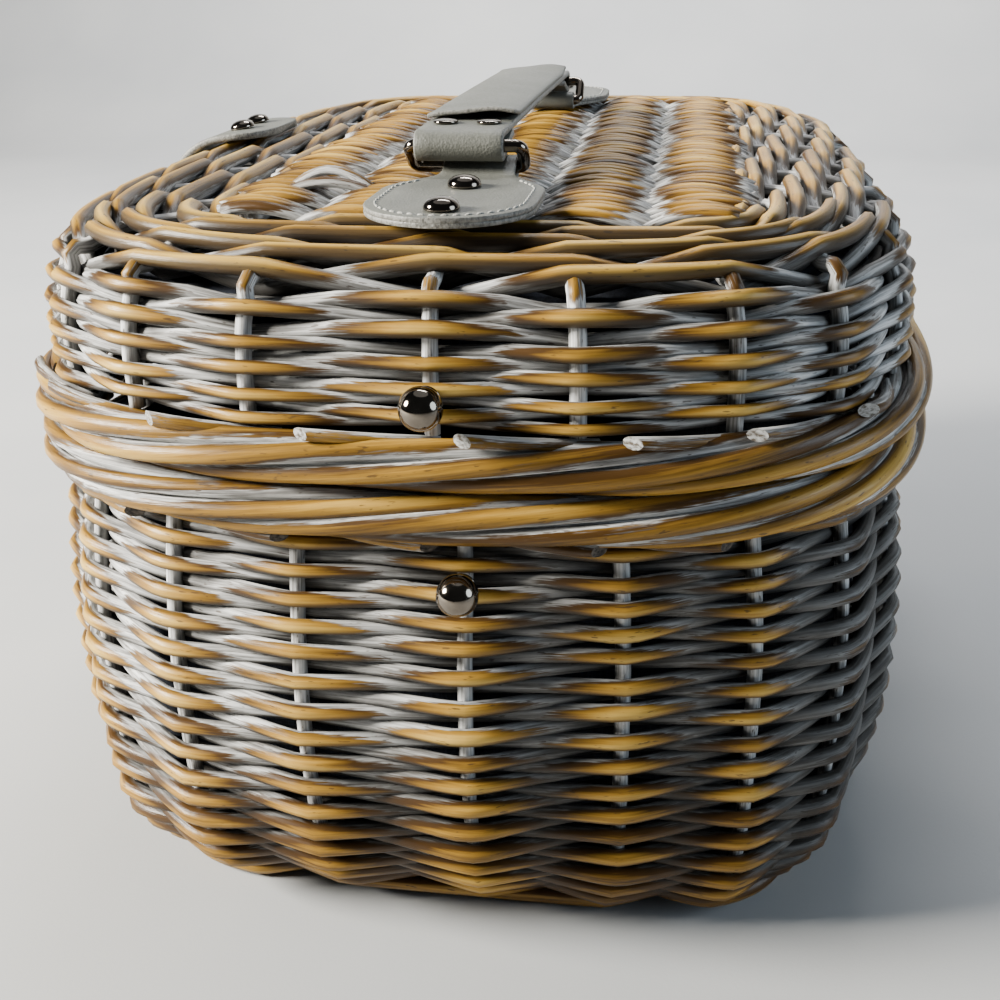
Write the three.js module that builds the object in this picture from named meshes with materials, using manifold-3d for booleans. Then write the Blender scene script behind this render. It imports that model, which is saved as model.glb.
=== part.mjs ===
// A wicker picnic basket: a woven tub, a woven lid hinged along the back, a rolled border round
// each rim, a leather carrying handle on the lid and a leather closing strap at the front.
// Millimetres, +Z up, +X along the length, -Y the front. The origin is the middle of the base.

import * as THREE from "three";
import { mergeVertices } from "three/addons/utils/BufferGeometryUtils.js";
import Module from "manifold-3d";

const wasm = await Module();
wasm.setup();
const { smoothstep } = THREE.MathUtils;

// Sizes of the whole basket, measured over the borders
const HALF_LENGTH = 210;
const HALF_WIDTH = 150;
const WALL = 11; // two weavers and the stake between them
const GAP = 0.3; // clearance between pieces that touch

// The plan is a superellipse: a high power along X keeps the long sides flat,
// a lower one along Y bows the ends
const SIDE_POWER = 4.5;
const END_POWER = 2.8;
const RING_STEPS = 48;

// Borders: strands laid round each other like a rope
const BORDER_RADIUS = 7.5;
const BORDER_VALLEY = 6.3;
const BORDER_STRANDS = 5;
const BORDER_TURNS = 4;
const BORDER_STEPS = 84;
const BODY_BORDER_Z = 158.2;
const LID_BORDER_Z = BODY_BORDER_Z + 2 * BORDER_RADIUS + 2 * GAP;

// Base and tub
const BASE_THICK = 10;
const BODY_TOP = BODY_BORDER_Z - BORDER_RADIUS - GAP;
const FOOT_TOP = 26; // top of the heavier rows that start the wall
const BULGE_Z = 75; // height of the widest part of the tub
const BOW = 8; // how far the near end falls back beside its middle, half way up
const BASE_SIDE_POWER = 7;
const BASE_END_POWER = 6;
const BODY_PROFILE = [
  { z: 0, inset: 36 },
  { z: BASE_THICK, inset: 26 },
  { z: FOOT_TOP, inset: 13.5 },
  { z: 48, inset: 4.5 },
  { z: BULGE_Z, inset: 0.5 },
  { z: 105, inset: 1 },
  { z: 132, inset: 4 },
  { z: BODY_TOP, inset: 7 },
];

// Lid: wall, shoulder and the flat ring up to the panel
const LID_FOOT = LID_BORDER_Z + BORDER_RADIUS + GAP;
const LID_TOP = 229.5;
const LID_PROFILE = [
  { z: LID_FOOT, inset: 6.5, inner: 17.5, innerZ: LID_FOOT },
  { z: 200, inset: 7, inner: 18, innerZ: 196 },
  { z: 212, inset: 9.5, inner: 20.5, innerZ: 206 },
  { z: 220, inset: 14, inner: 26, innerZ: 213 },
  { z: 225.5, inset: 22, inner: 35, innerZ: 217 },
  { z: 228.3, inset: 33, inner: 44, innerZ: 219.3 },
];
const SHOULDER_POWERS = { side: 5, end: 3.4 };

// Lid panel: close-woven, a little off the middle, with humps that run along the length
const PANEL_HALF_LENGTH = 152;
const PANEL_HALF_WIDTH = 83;
const PANEL_Y = 6;
const PANEL_POWER = 10;
const PANEL_THICK = 9;
const HUMPS = 5;
const HUMP_STEPS = 7;
const HUMP_TOP = LID_TOP + 1.5;
const HUMP_DEPTH = 4;

// Leather handle; u runs outwards from the middle of the handle
const HANDLE_X = 9;
const LEATHER = 2.4;
const THIN_LEATHER = 1.4; // tabs and grip
const WIRE = 2; // radius of the ring wire
const LOOP = WIRE + GAP + LEATHER; // outside radius of the strap folded round the wire
const TAB_LOOP = WIRE + GAP + THIN_LEATHER;
const RING_Y = -1.75;
const RING_HALF_WIDTH = 17.75;
const STRAP_Y = -3.2; // the strap has slid to one side of the rings, the tabs to the other
const STRAP_HALF_WIDTH = 14;
const STRAP_RISE = 0.4; // the strap's arch between its folds
const TAB_Y = 2.2;
const TAB_Z = HUMP_TOP + GAP;
const TAB_TOP = TAB_Z + 2 * THIN_LEATHER;
const TAB_HALF_WIDTH = 24.2;
const NECK_HALF_WIDTH = 11.5;
const TAB_END_U = 173;
const LOWER_BAR = { u: 95, z: TAB_Z + TAB_LOOP };
const UPPER_BAR = { u: 103, z: LOWER_BAR.z + 7.5 };
const GRIP_HALF_LENGTH = 82;
const GRIP_SAGITTA = 1.4;
const ARC_STEPS = 10;

// Front closing strap
const FRONT_X = -18;
const FRONT_THICK = 2.8;
const FRONT_TOP_HALF_WIDTH = 27;
const FRONT_BOTTOM_Z = 122;
const FRONT_TIP_Y = -101;

// Hinge: the lid's border turns inside two loops fixed to the tub
const HINGE_Y = HALF_WIDTH - BORDER_RADIUS;
const HINGE_XS = [FRONT_X - 37, FRONT_X + 37]; // opposite the front strap
const HINGE_HALF_WIDTH = 10;
const HINGE_INSIDE = BORDER_RADIUS + 1.8;
const HINGE_OUTSIDE = HINGE_INSIDE + 2;
const HINGE_SWEEP = 14; // lid wall cut back to this radius so that it turns past the loop

// Fasteners: { head radius, head height, shank radius, shank length }
const DOMED_RIVET = { head: 5, height: 3.4, shank: 1.5, length: 8 };
const FLAT_RIVET = { head: 4, height: 1.2, shank: 1.2, length: 2 };
const BUTTON = { head: 6, height: 3, shank: 2.5, length: 4.6 };
const BALL = { radius: 5.8, neck: 2.4, collar: 4, rise: 2, shank: 2, length: WALL };
const TURN_STEPS = 10;

const WILLOW = { color: 0x9a7440, roughness: 0.6, metalness: 0 };
const LIMED = { color: 0x8d8274, roughness: 0.65, metalness: 0 };
const GREY_LEATHER = { color: 0x7d807a, roughness: 0.55, metalness: 0 };
const NICKEL = { color: 0x8f8f92, roughness: 0.2, metalness: 1 };

const group = new THREE.Group();
group.name = "picnic_basket";

// Geometry helpers

function signedPower(value, power) {
  return Math.sign(value) * Math.abs(value) ** power;
}

// Share of the bow at a place in plan: at the near end, between its middle and the +Y side
function besideMiddle(x, y) {
  return smoothstep(y, 0, 60) * (1 - smoothstep(y, 70, HALF_WIDTH)) * smoothstep(x, 0, HALF_LENGTH);
}

function planPoint(turn, level) {
  const angle = turn * 2 * Math.PI;
  const x = level.halfX * signedPower(Math.cos(angle), 2 / level.side);
  const y = level.midY + level.halfY * signedPower(Math.sin(angle), 2 / level.end);
  return { x: x - level.bow * besideMiddle(x, y), y };
}

function insetLevel(z, inset, side = SIDE_POWER, end = END_POWER) {
  return { z, halfX: HALF_LENGTH - inset, halfY: HALF_WIDTH - inset, midY: 0, side, end, bow: 0 };
}

function bodyLevel(z, inset) {
  const low = Math.max(0, 1 - z / BULGE_Z) ** 2;
  const side = SIDE_POWER + (BASE_SIDE_POWER - SIDE_POWER) * low;
  const end = END_POWER + (BASE_END_POWER - END_POWER) * low;
  const bow = BOW * smoothstep(z, 5, 45) * (1 - smoothstep(z, 105, 140));
  return { ...insetLevel(z, inset, side, end), bow };
}

function panelLevel(z, margin) {
  return {
    z,
    halfX: PANEL_HALF_LENGTH + margin,
    halfY: PANEL_HALF_WIDTH + margin,
    midY: PANEL_Y,
    side: PANEL_POWER,
    end: PANEL_POWER,
    bow: 0,
  };
}

function meshFrom(positions, triangles) {
  const geometry = new THREE.BufferGeometry();
  geometry.setAttribute("position", new THREE.Float32BufferAttribute(positions, 3));
  geometry.setIndex(triangles);
  return geometry;
}

// Two triangles for each cell of a grid of loops; the loops themselves always close
function gridTriangles(loops, points, closed) {
  const triangles = [];
  const last = closed ? loops : loops - 1;
  for (let i = 0; i < last; i += 1) {
    const next = (i + 1) % loops;
    for (let j = 0; j < points; j += 1) {
      const side = (j + 1) % points;
      const a = i * points + j;
      const b = i * points + side;
      const c = next * points + side;
      const d = next * points + j;
      triangles.push(a, b, c, a, c, d);
    }
  }
  return triangles;
}

function ringPositions(levels) {
  const positions = [];
  for (const level of levels) {
    for (let j = 0; j < RING_STEPS; j += 1) {
      const point = planPoint(j / RING_STEPS, level);
      positions.push(point.x, point.y, level.z);
    }
  }
  return positions;
}

// A hollow wall: levels go up the outside and come down the inside
function ringShell(levels) {
  return meshFrom(ringPositions(levels), gridTriangles(levels.length, RING_STEPS, true));
}

// A solid plate or prism: levels from the bottom to the top, closed by flat caps
function ringSolid(levels) {
  const positions = ringPositions(levels);
  const triangles = gridTriangles(levels.length, RING_STEPS, false);
  const top = (levels.length - 1) * RING_STEPS;
  const bottomMiddle = positions.length / 3;
  positions.push(0, 0, levels[0].z, 0, 0, levels[levels.length - 1].z);
  for (let j = 0; j < RING_STEPS; j += 1) {
    const next = (j + 1) % RING_STEPS;
    triangles.push(bottomMiddle, next, j);
    triangles.push(bottomMiddle + 1, top + j, top + next);
  }
  return meshFrom(positions, triangles);
}

// Points at equal steps along a closed plan curve
function evenPlan(level, count) {
  const fine = [];
  const samples = 1440;
  for (let i = 0; i <= samples; i += 1) {
    const point = planPoint(i / samples, level);
    fine.push(new THREE.Vector2(point.x, point.y));
  }
  const along = [0];
  for (let i = 1; i <= samples; i += 1) {
    along.push(along[i - 1] + fine[i].distanceTo(fine[i - 1]));
  }
  const points = [];
  let k = 1;
  for (let i = 0; i < count; i += 1) {
    const target = (along[samples] * i) / count;
    while (along[k] < target) {
      k += 1;
    }
    const share = (target - along[k - 1]) / (along[k] - along[k - 1]);
    points.push(fine[k - 1].clone().lerp(fine[k], share));
  }
  return points;
}

// A closed tube: section(i) gives { out, across } offsets, axis is the normal of the path's plane
function closedTube(path, axis, section) {
  const positions = [];
  let sides = 0;
  path.forEach((point, i) => {
    const before = path[(i + path.length - 1) % path.length];
    const after = path[(i + 1) % path.length];
    const tangent = after.clone().sub(before).normalize();
    const out = tangent.clone().cross(axis).normalize();
    const offsets = section(i).reverse();
    sides = offsets.length;
    for (const offset of offsets) {
      const p = point.clone().addScaledVector(out, offset.out).addScaledVector(axis, offset.across);
      positions.push(p.x, p.y, p.z);
    }
  });
  return meshFrom(positions, gridTriangles(path.length, sides, true));
}

function border(z) {
  const plan = evenPlan(insetLevel(z, BORDER_RADIUS), BORDER_STEPS);
  const path = plan.map((p) => new THREE.Vector3(p.x, p.y, z));
  const points = 2 * BORDER_STRANDS;
  const section = (i) => {
    const twist = (2 * Math.PI * BORDER_TURNS * i) / BORDER_STEPS;
    const offsets = [];
    for (let j = 0; j < points; j += 1) {
      const angle = twist + (2 * Math.PI * j) / points;
      const radius = j % 2 === 0 ? BORDER_RADIUS : BORDER_VALLEY;
      offsets.push({ out: radius * Math.cos(angle), across: radius * Math.sin(angle) });
    }
    return offsets;
  };
  return closedTube(path, new THREE.Vector3(0, 0, 1), section);
}

// Extrudes a shape drawn in (Y, Z) along X, centred on X = 0
function alongX(shape, halfWidth, steps = 1) {
  const geometry = new THREE.ExtrudeGeometry(shape, { depth: 2 * halfWidth, steps, bevelEnabled: false });
  geometry.translate(0, 0, -halfWidth);
  const turn = new THREE.Matrix4().makeBasis(
    new THREE.Vector3(0, 1, 0),
    new THREE.Vector3(0, 0, 1),
    new THREE.Vector3(1, 0, 0),
  );
  return geometry.applyMatrix4(turn);
}

// Extrudes a shape drawn in (X, Z) along Y, centred on Y = 0
function alongY(shape, halfWidth, steps = 1) {
  const geometry = new THREE.ExtrudeGeometry(shape, { depth: 2 * halfWidth, steps, bevelEnabled: false });
  geometry.translate(0, 0, -halfWidth);
  return geometry.rotateX(Math.PI / 2);
}

// Extrudes a shape drawn in (X, Y) along Z
function alongZ(shape, from, to) {
  const geometry = new THREE.ExtrudeGeometry(shape, { depth: to - from, bevelEnabled: false });
  return geometry.translate(0, 0, from);
}

function arcPoints(centre, radius, from, to, steps = ARC_STEPS) {
  const points = [];
  for (let i = 0; i <= steps; i += 1) {
    const angle = from + ((to - from) * i) / steps;
    points.push(new THREE.Vector2(centre.u + radius * Math.cos(angle), centre.z + radius * Math.sin(angle)));
  }
  return points;
}

function circleHole(centre, radius) {
  const points = arcPoints(centre, radius, 0, 2 * Math.PI);
  points.pop();
  return new THREE.Path(points);
}

// Solid helpers: join and cut

function toSolid(geometry) {
  const plain = geometry.clone();
  plain.deleteAttribute("normal");
  plain.deleteAttribute("uv");
  const merged = mergeVertices(plain, 1e-4);
  const solid = new wasm.Manifold(
    new wasm.Mesh({
      numProp: 3,
      vertProperties: new Float32Array(merged.attributes.position.array),
      triVerts: new Uint32Array(merged.index.array),
    }),
  );
  return solid;
}

function fromSolid(solid) {
  const mesh = solid.getMesh();
  return meshFrom(Array.from(mesh.vertProperties), Array.from(mesh.triVerts));
}

function cut(geometry, cutters) {
  let solid = toSolid(geometry);
  for (const cutter of cutters) {
    solid = solid.subtract(toSolid(cutter));
  }
  return fromSolid(solid);
}

function common(geometry, ...others) {
  let solid = toSolid(geometry);
  for (const other of others) {
    solid = solid.intersect(toSolid(other));
  }
  return fromSolid(solid);
}

function place(geometry, position, direction) {
  const turn = new THREE.Quaternion().setFromUnitVectors(
    new THREE.Vector3(0, 1, 0),
    direction.clone().normalize(),
  );
  return geometry.applyQuaternion(turn).translate(position.x, position.y, position.z);
}

function rod(radius, from, to, position, direction) {
  const geometry = new THREE.CylinderGeometry(radius, radius, to - from, TURN_STEPS);
  return place(geometry.translate(0, (from + to) / 2, 0), position, direction);
}

function lathe(profile, position, direction) {
  const points = profile.map(([radius, height]) => new THREE.Vector2(radius, height));
  return place(new THREE.LatheGeometry(points, TURN_STEPS), position, direction);
}

function add(name, geometry, material) {
  const plain = geometry.clone();
  plain.deleteAttribute("normal");
  plain.deleteAttribute("uv");
  const merged = mergeVertices(plain, 1e-4);
  merged.computeVertexNormals();
  const mesh = new THREE.Mesh(merged, new THREE.MeshStandardMaterial(material));
  mesh.name = name;
  group.add(mesh);
}

// Fasteners: position is the centre of the seat, direction points out of it

function rivet(size, position, direction) {
  const profile = [
    [0, -size.length],
    [size.shank, -size.length],
    [size.shank, 0],
    [size.head, 0],
    [0.94 * size.head, 0.42 * size.height],
    [0.7 * size.head, 0.77 * size.height],
    [0.36 * size.head, 0.95 * size.height],
    [0, size.height],
  ];
  return lathe(profile, position, direction);
}

function rivetHole(size, position, direction) {
  return rod(size.shank + GAP, -size.length - 2 * GAP, GAP, position, direction);
}

function ballStud(position, direction) {
  const profile = [
    [0, -BALL.length],
    [BALL.shank, -BALL.length],
    [BALL.shank, 0],
    [BALL.collar, 0],
    [BALL.collar, 1],
    [BALL.neck, 1],
    [BALL.neck, BALL.rise],
  ];
  const start = -Math.acos(BALL.neck / BALL.radius);
  const centre = BALL.rise - BALL.radius * Math.sin(start);
  const bands = 7;
  for (let i = 1; i <= bands; i += 1) {
    const angle = start + ((Math.PI / 2 - start) * i) / bands;
    const radius = i === bands ? 0 : BALL.radius * Math.cos(angle);
    profile.push([radius, centre + BALL.radius * Math.sin(angle)]);
  }
  return lathe(profile, position, direction);
}

function ballStudHole(position, direction) {
  return rod(BALL.shank + GAP, -2 * WALL, WALL, position, direction);
}

// Where the fasteners sit

const UP = new THREE.Vector3(0, 0, 1);
const LID_STUD = {
  seat: new THREE.Vector3(HALF_LENGTH - 6.8 + GAP, 3, 192),
  out: new THREE.Vector3(1, 0, 0.03),
};
const BODY_STUD = {
  seat: new THREE.Vector3(HALF_LENGTH - 5.1 + GAP, 11, 139),
  out: new THREE.Vector3(1, 0, 0.16),
};
const TAB_RIVETS = [127, 162].flatMap((u) => [u, -u]);
const STRAP_RIVETS = [89, -89].flatMap((u) => [-7, 7].map((y) => ({ u, y: STRAP_Y + y })));
const FRONT_RIVETS = [FRONT_X + 9.5, FRONT_X - 9.5];

const tabSeats = TAB_RIVETS.map((u) => new THREE.Vector3(HANDLE_X + u, TAB_Y, TAB_TOP + GAP));

// Tub

function wallShell(rows) {
  const outside = rows.map((row) => bodyLevel(row.z, row.inset));
  const inside = rows.map((row) => bodyLevel(row.z, row.inset + WALL)).reverse();
  return ringShell([...outside, ...inside]);
}

// A bar along X through the hinge, used to clear the walls round each loop
function hingeBar(x, z, radius, clearance) {
  const geometry = new THREE.CylinderGeometry(radius, radius, 2 * (HINGE_HALF_WIDTH + clearance), 24);
  return geometry.rotateZ(Math.PI / 2).translate(x, HINGE_Y, z);
}

const bodyCuts = HINGE_XS.map((x) => hingeBar(x, BODY_BORDER_Z, HINGE_OUTSIDE + GAP, GAP));
bodyCuts.push(ballStudHole(BODY_STUD.seat, BODY_STUD.out));
const footRows = BODY_PROFILE.filter((row) => row.z < FOOT_TOP);
const wallRows = BODY_PROFILE.filter((row) => row.z >= FOOT_TOP);
footRows.push({ z: FOOT_TOP - GAP, inset: wallRows[0].inset });
add("body_foot", wallShell(footRows), WILLOW);
add("body_wall", cut(wallShell(wallRows), bodyCuts), WILLOW);

const baseRims = BODY_PROFILE.slice(0, 2).map((row) => bodyLevel(row.z, row.inset + WALL + GAP));
add("base_panel", ringSolid(baseRims), LIMED);
add("body_border", border(BODY_BORDER_Z), WILLOW);
add("body_stud", ballStud(BODY_STUD.seat, BODY_STUD.out), NICKEL);

// Hinge loops: a band round both borders
function hingeLoop(x) {
  const low = { u: HINGE_Y, z: BODY_BORDER_Z };
  const high = { u: HINGE_Y, z: LID_BORDER_Z };
  const outline = (radius) => [
    ...arcPoints(low, radius, Math.PI, 2 * Math.PI),
    ...arcPoints(high, radius, 0, Math.PI),
  ];
  const shape = new THREE.Shape(outline(HINGE_OUTSIDE));
  shape.holes.push(new THREE.Path(outline(HINGE_INSIDE)));
  return alongX(shape, HINGE_HALF_WIDTH).translate(x, 0, 0);
}

add("hinge_loop_left", hingeLoop(HINGE_XS[0]), GREY_LEATHER);
add("hinge_loop_right", hingeLoop(HINGE_XS[1]), GREY_LEATHER);

// Lid

const lidOutside = LID_PROFILE.map((row, i) => {
  const share = (i / (LID_PROFILE.length - 1)) ** 3;
  const side = SIDE_POWER + (SHOULDER_POWERS.side - SIDE_POWER) * share;
  const end = END_POWER + (SHOULDER_POWERS.end - END_POWER) * share;
  return insetLevel(row.z, row.inset, side, end);
});
const lidInside = LID_PROFILE.map((row) => insetLevel(row.innerZ, row.inner)).reverse();
const panelEdge = [panelLevel(LID_TOP, GAP), panelLevel(LID_TOP - PANEL_THICK, GAP)];
const frontSlope = new THREE.Vector3(0, -0.2, 1);
const frontSeats = FRONT_RIVETS.map((x) => new THREE.Vector3(x, -117, 228.3 + FRONT_THICK + 2.1 * GAP));
const tabHoles = tabSeats.map((seat) => rivetHole(DOMED_RIVET, seat, UP));
const frontHoles = frontSeats.map((seat) => rivetHole(DOMED_RIVET, seat, frontSlope));
const lidCuts = HINGE_XS.map((x) => hingeBar(x, LID_BORDER_Z, HINGE_SWEEP, 2 * GAP));
lidCuts.push(ballStudHole(LID_STUD.seat, LID_STUD.out), ...tabHoles, ...frontHoles);
add("lid_wall", cut(ringShell([...lidOutside, ...panelEdge, ...lidInside]), lidCuts), WILLOW);

function panelShape() {
  const points = [new THREE.Vector2(PANEL_Y + PANEL_HALF_WIDTH, LID_TOP - PANEL_THICK)];
  const count = HUMPS * HUMP_STEPS;
  for (let i = 0; i <= count; i += 1) {
    const share = i / count;
    const wave = Math.abs(Math.sin(Math.PI * HUMPS * share));
    const y = PANEL_Y + PANEL_HALF_WIDTH * (1 - 2 * share);
    points.push(new THREE.Vector2(y, HUMP_TOP - HUMP_DEPTH * (1 - wave)));
  }
  points.push(new THREE.Vector2(PANEL_Y - PANEL_HALF_WIDTH, LID_TOP - PANEL_THICK));
  return new THREE.Shape(points);
}

const panelPlan = ringSolid([panelLevel(LID_TOP - 2 * PANEL_THICK, 0), panelLevel(LID_TOP + PANEL_THICK, 0)]);
const panelBlock = common(alongX(panelShape(), PANEL_HALF_LENGTH), panelPlan);
add("lid_panel", cut(panelBlock, tabHoles), WILLOW);
add("lid_border", border(LID_BORDER_Z), WILLOW);
add("lid_stud", ballStud(LID_STUD.seat, LID_STUD.out), NICKEL);

// Handle tab: two layers of leather folded round the ring's lower bar, cut to a pear shape

function tabSide() {
  const points = [
    new THREE.Vector2(TAB_END_U, TAB_TOP),
    new THREE.Vector2(LOWER_BAR.u + 13, TAB_TOP),
    new THREE.Vector2(LOWER_BAR.u + 8, TAB_TOP + 0.4),
    new THREE.Vector2(LOWER_BAR.u + 5, TAB_TOP + 1),
    ...arcPoints(LOWER_BAR, TAB_LOOP, 0.35, 1.5 * Math.PI),
    new THREE.Vector2(TAB_END_U, TAB_Z),
  ];
  const shape = new THREE.Shape(points);
  shape.holes.push(circleHole(LOWER_BAR, WIRE + GAP));
  return shape;
}

function tabPlan() {
  const start = LOWER_BAR.u - TAB_LOOP - 1;
  const neckEnd = LOWER_BAR.u + 6;
  const widest = LOWER_BAR.u + 35;
  const roundFrom = TAB_END_U - TAB_HALF_WIDTH;
  const halfWidth = (u) => {
    if (u > roundFrom) {
      const share = (u - roundFrom) / TAB_HALF_WIDTH;
      return TAB_HALF_WIDTH * Math.sqrt(Math.max(0, 1 - share * share));
    }
    const share = smoothstep(u, neckEnd, widest);
    return NECK_HALF_WIDTH + (TAB_HALF_WIDTH - NECK_HALF_WIDTH) * share;
  };
  const edge = [start, neckEnd, neckEnd + 8, neckEnd + 14, neckEnd + 20, widest, roundFrom];
  for (let i = 1; i < ARC_STEPS; i += 1) {
    edge.push(roundFrom + TAB_HALF_WIDTH * Math.sin((Math.PI * i) / (2 * ARC_STEPS)));
  }
  const left = edge.map((u) => new THREE.Vector2(u, halfWidth(u)));
  const right = edge.map((u) => new THREE.Vector2(u, -halfWidth(u))).reverse();
  return new THREE.Shape([...left, new THREE.Vector2(TAB_END_U, 0), ...right]);
}

const tabBlank = alongY(tabSide(), TAB_HALF_WIDTH + 1);
const tab = common(tabBlank, alongZ(tabPlan(), TAB_Z - LOOP, TAB_Z + 4 * LOOP));
const ends = [
  { name: "near", turn: 0 },
  { name: "far", turn: Math.PI },
];

// Ring: a rounded rectangle of wire that leans from the tab's loop to the strap's fold
function handleRing() {
  const lean = new THREE.Vector3(UPPER_BAR.u - LOWER_BAR.u, 0, UPPER_BAR.z - LOWER_BAR.z);
  const halfHeight = lean.length() / 2;
  const corner = 2.5;
  const centre = new THREE.Vector3(
    (UPPER_BAR.u + LOWER_BAR.u) / 2,
    0,
    (UPPER_BAR.z + LOWER_BAR.z) / 2,
  );
  lean.normalize();
  const across = new THREE.Vector3(0, 1, 0);
  const path = [];
  const quarters = [
    { y: 1, h: 1, from: 0 },
    { y: -1, h: 1, from: Math.PI / 2 },
    { y: -1, h: -1, from: Math.PI },
    { y: 1, h: -1, from: 1.5 * Math.PI },
  ];
  const steps = 4;
  for (const quarter of quarters) {
    for (let i = 0; i <= steps; i += 1) {
      const angle = quarter.from + (Math.PI / 2) * (i / steps);
      const y = quarter.y * (RING_HALF_WIDTH - corner) + corner * Math.cos(angle);
      const h = quarter.h * (halfHeight - corner) + corner * Math.sin(angle);
      path.push(centre.clone().addScaledVector(across, y).addScaledVector(lean, h));
    }
  }
  const section = () => {
    const offsets = [];
    const sides = 8;
    for (let j = 0; j < sides; j += 1) {
      const angle = (2 * Math.PI * j) / sides;
      offsets.push({ out: WIRE * Math.cos(angle), across: WIRE * Math.sin(angle) });
    }
    return offsets;
  };
  return closedTube(path, across.clone().cross(lean), section);
}

for (const end of ends) {
  const tabHere = tab.clone().rotateZ(end.turn).translate(HANDLE_X, TAB_Y, 0);
  add(`handle_tab_${end.name}`, cut(tabHere, tabHoles), GREY_LEATHER);
  const ringHere = handleRing().rotateZ(end.turn).translate(HANDLE_X, RING_Y, 0);
  add(`handle_ring_${end.name}`, ringHere, NICKEL);
}

// Handle strap: one layer between the rings, folded round each ring's upper bar

function strapTop(u) {
  return UPPER_BAR.z + LOOP + STRAP_RISE * (1 - (u / UPPER_BAR.u) ** 2);
}

function strapSide() {
  const stations = 12;
  const left = { u: -UPPER_BAR.u, z: UPPER_BAR.z };
  const top = [];
  const bottom = [];
  for (let i = 1; i < stations; i += 1) {
    const u = UPPER_BAR.u * (1 - (2 * i) / stations);
    top.push(new THREE.Vector2(u, strapTop(u)));
    if (Math.abs(u) < UPPER_BAR.u - 2 * LOOP) {
      bottom.push(new THREE.Vector2(-u, strapTop(u) - LEATHER));
    }
  }
  const shape = new THREE.Shape([
    ...top,
    ...arcPoints(left, LOOP, Math.PI / 2, 2 * Math.PI - 0.1),
    ...bottom,
    ...arcPoints(UPPER_BAR, LOOP, -Math.PI + 0.1, Math.PI / 2),
  ]);
  shape.holes.push(circleHole(UPPER_BAR, WIRE + GAP), circleHole(left, WIRE + GAP));
  return shape;
}

const strapSeats = STRAP_RIVETS.map(
  (at) => new THREE.Vector3(HANDLE_X + at.u, at.y, strapTop(at.u) + GAP),
);
const strapHoles = strapSeats.map((seat) => rivetHole(FLAT_RIVET, seat, UP));
const strapBlank = alongY(strapSide(), STRAP_HALF_WIDTH).translate(HANDLE_X, STRAP_Y, 0);
add("handle_strap", cut(strapBlank, strapHoles), GREY_LEATHER);

// Grip: an arched cover on the strap, open at both ends
function handleGrip() {
  const halfSpan = STRAP_HALF_WIDTH + 0.5;
  const steps = 8;
  const arch = (thickness) => {
    const points = [];
    for (let i = 0; i <= steps; i += 1) {
      const share = 1 - (2 * i) / steps;
      const rise = GRIP_SAGITTA * (1 - share * share);
      points.push(new THREE.Vector2(share * halfSpan, rise + thickness));
    }
    return points;
  };
  const shape = new THREE.Shape([...arch(THIN_LEATHER), ...arch(0).reverse()]);
  const geometry = alongX(shape, GRIP_HALF_LENGTH, 10);
  const position = geometry.attributes.position;
  for (let i = 0; i < position.count; i += 1) {
    position.setZ(i, position.getZ(i) + strapTop(position.getX(i)) + GAP);
  }
  return geometry.translate(HANDLE_X, STRAP_Y, 0);
}

add("handle_grip", handleGrip(), GREY_LEATHER);
tabSeats.forEach((seat, i) => add(`tab_rivet_${i + 1}`, rivet(DOMED_RIVET, seat, UP), NICKEL));
strapSeats.forEach((seat, i) => add(`strap_rivet_${i + 1}`, rivet(FLAT_RIVET, seat, UP), NICKEL));

// Front strap: lies on the shoulder, drops over both borders and ends on the tub's front

function ribbon(path, thickness) {
  const side = (sign) => path.map((point, i) => {
    const before = path[Math.max(0, i - 1)];
    const after = path[Math.min(path.length - 1, i + 1)];
    const along = after.clone().sub(before).normalize();
    return point.clone().add(new THREE.Vector2(-along.y, along.x).multiplyScalar((sign * thickness) / 2));
  });
  return new THREE.Shape([...side(1), ...side(-1).reverse()]);
}

function frontSide() {
  const stand = FRONT_THICK / 2 + GAP;
  const seat = LID_PROFILE.slice(2).reverse().map((row) => {
    return new THREE.Vector2(row.inset - HALF_WIDTH - 0.7 * stand, row.z + stand);
  });
  const face = -HALF_WIDTH - stand - GAP;
  const path = [
    new THREE.Vector2(FRONT_TIP_Y, LID_TOP + stand),
    ...seat.slice(0, 3),
    new THREE.Vector2(9 - HALF_WIDTH - 1.5 * stand, 212),
    new THREE.Vector2(face + 2.2, 192),
    new THREE.Vector2(face, LID_BORDER_Z + 3),
    new THREE.Vector2(face, BODY_BORDER_Z - 3),
    new THREE.Vector2(face + 0.8, 140),
    new THREE.Vector2(face + 1.2, FRONT_BOTTOM_Z),
  ];
  return ribbon(path, FRONT_THICK);
}

function frontFace() {
  const narrow = STRAP_HALF_WIDTH;
  const wide = FRONT_TOP_HALF_WIDTH;
  const tip = arcPoints({ u: 0, z: FRONT_BOTTOM_Z + narrow }, narrow, Math.PI, 2 * Math.PI);
  return new THREE.Shape([
    ...tip,
    new THREE.Vector2(narrow, 192),
    new THREE.Vector2(narrow + 3, 203),
    new THREE.Vector2(wide - 3, 217),
    new THREE.Vector2(wide, 226),
    new THREE.Vector2(wide, 240),
    new THREE.Vector2(-wide, 240),
    new THREE.Vector2(-wide, 226),
    new THREE.Vector2(3 - wide, 217),
    new THREE.Vector2(-narrow - 3, 203),
    new THREE.Vector2(-narrow, 192),
  ]);
}

function frontPlan() {
  const corner = 16;
  const wide = FRONT_TOP_HALF_WIDTH;
  const right = arcPoints({ u: wide - corner, z: FRONT_TIP_Y - corner }, corner, 0, Math.PI / 2);
  const left = arcPoints({ u: corner - wide, z: FRONT_TIP_Y - corner }, corner, Math.PI / 2, Math.PI);
  const back = -HALF_WIDTH - 4 * FRONT_THICK;
  return new THREE.Shape([
    new THREE.Vector2(wide, back),
    ...right,
    ...left,
    new THREE.Vector2(-wide, back),
  ]);
}

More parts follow.
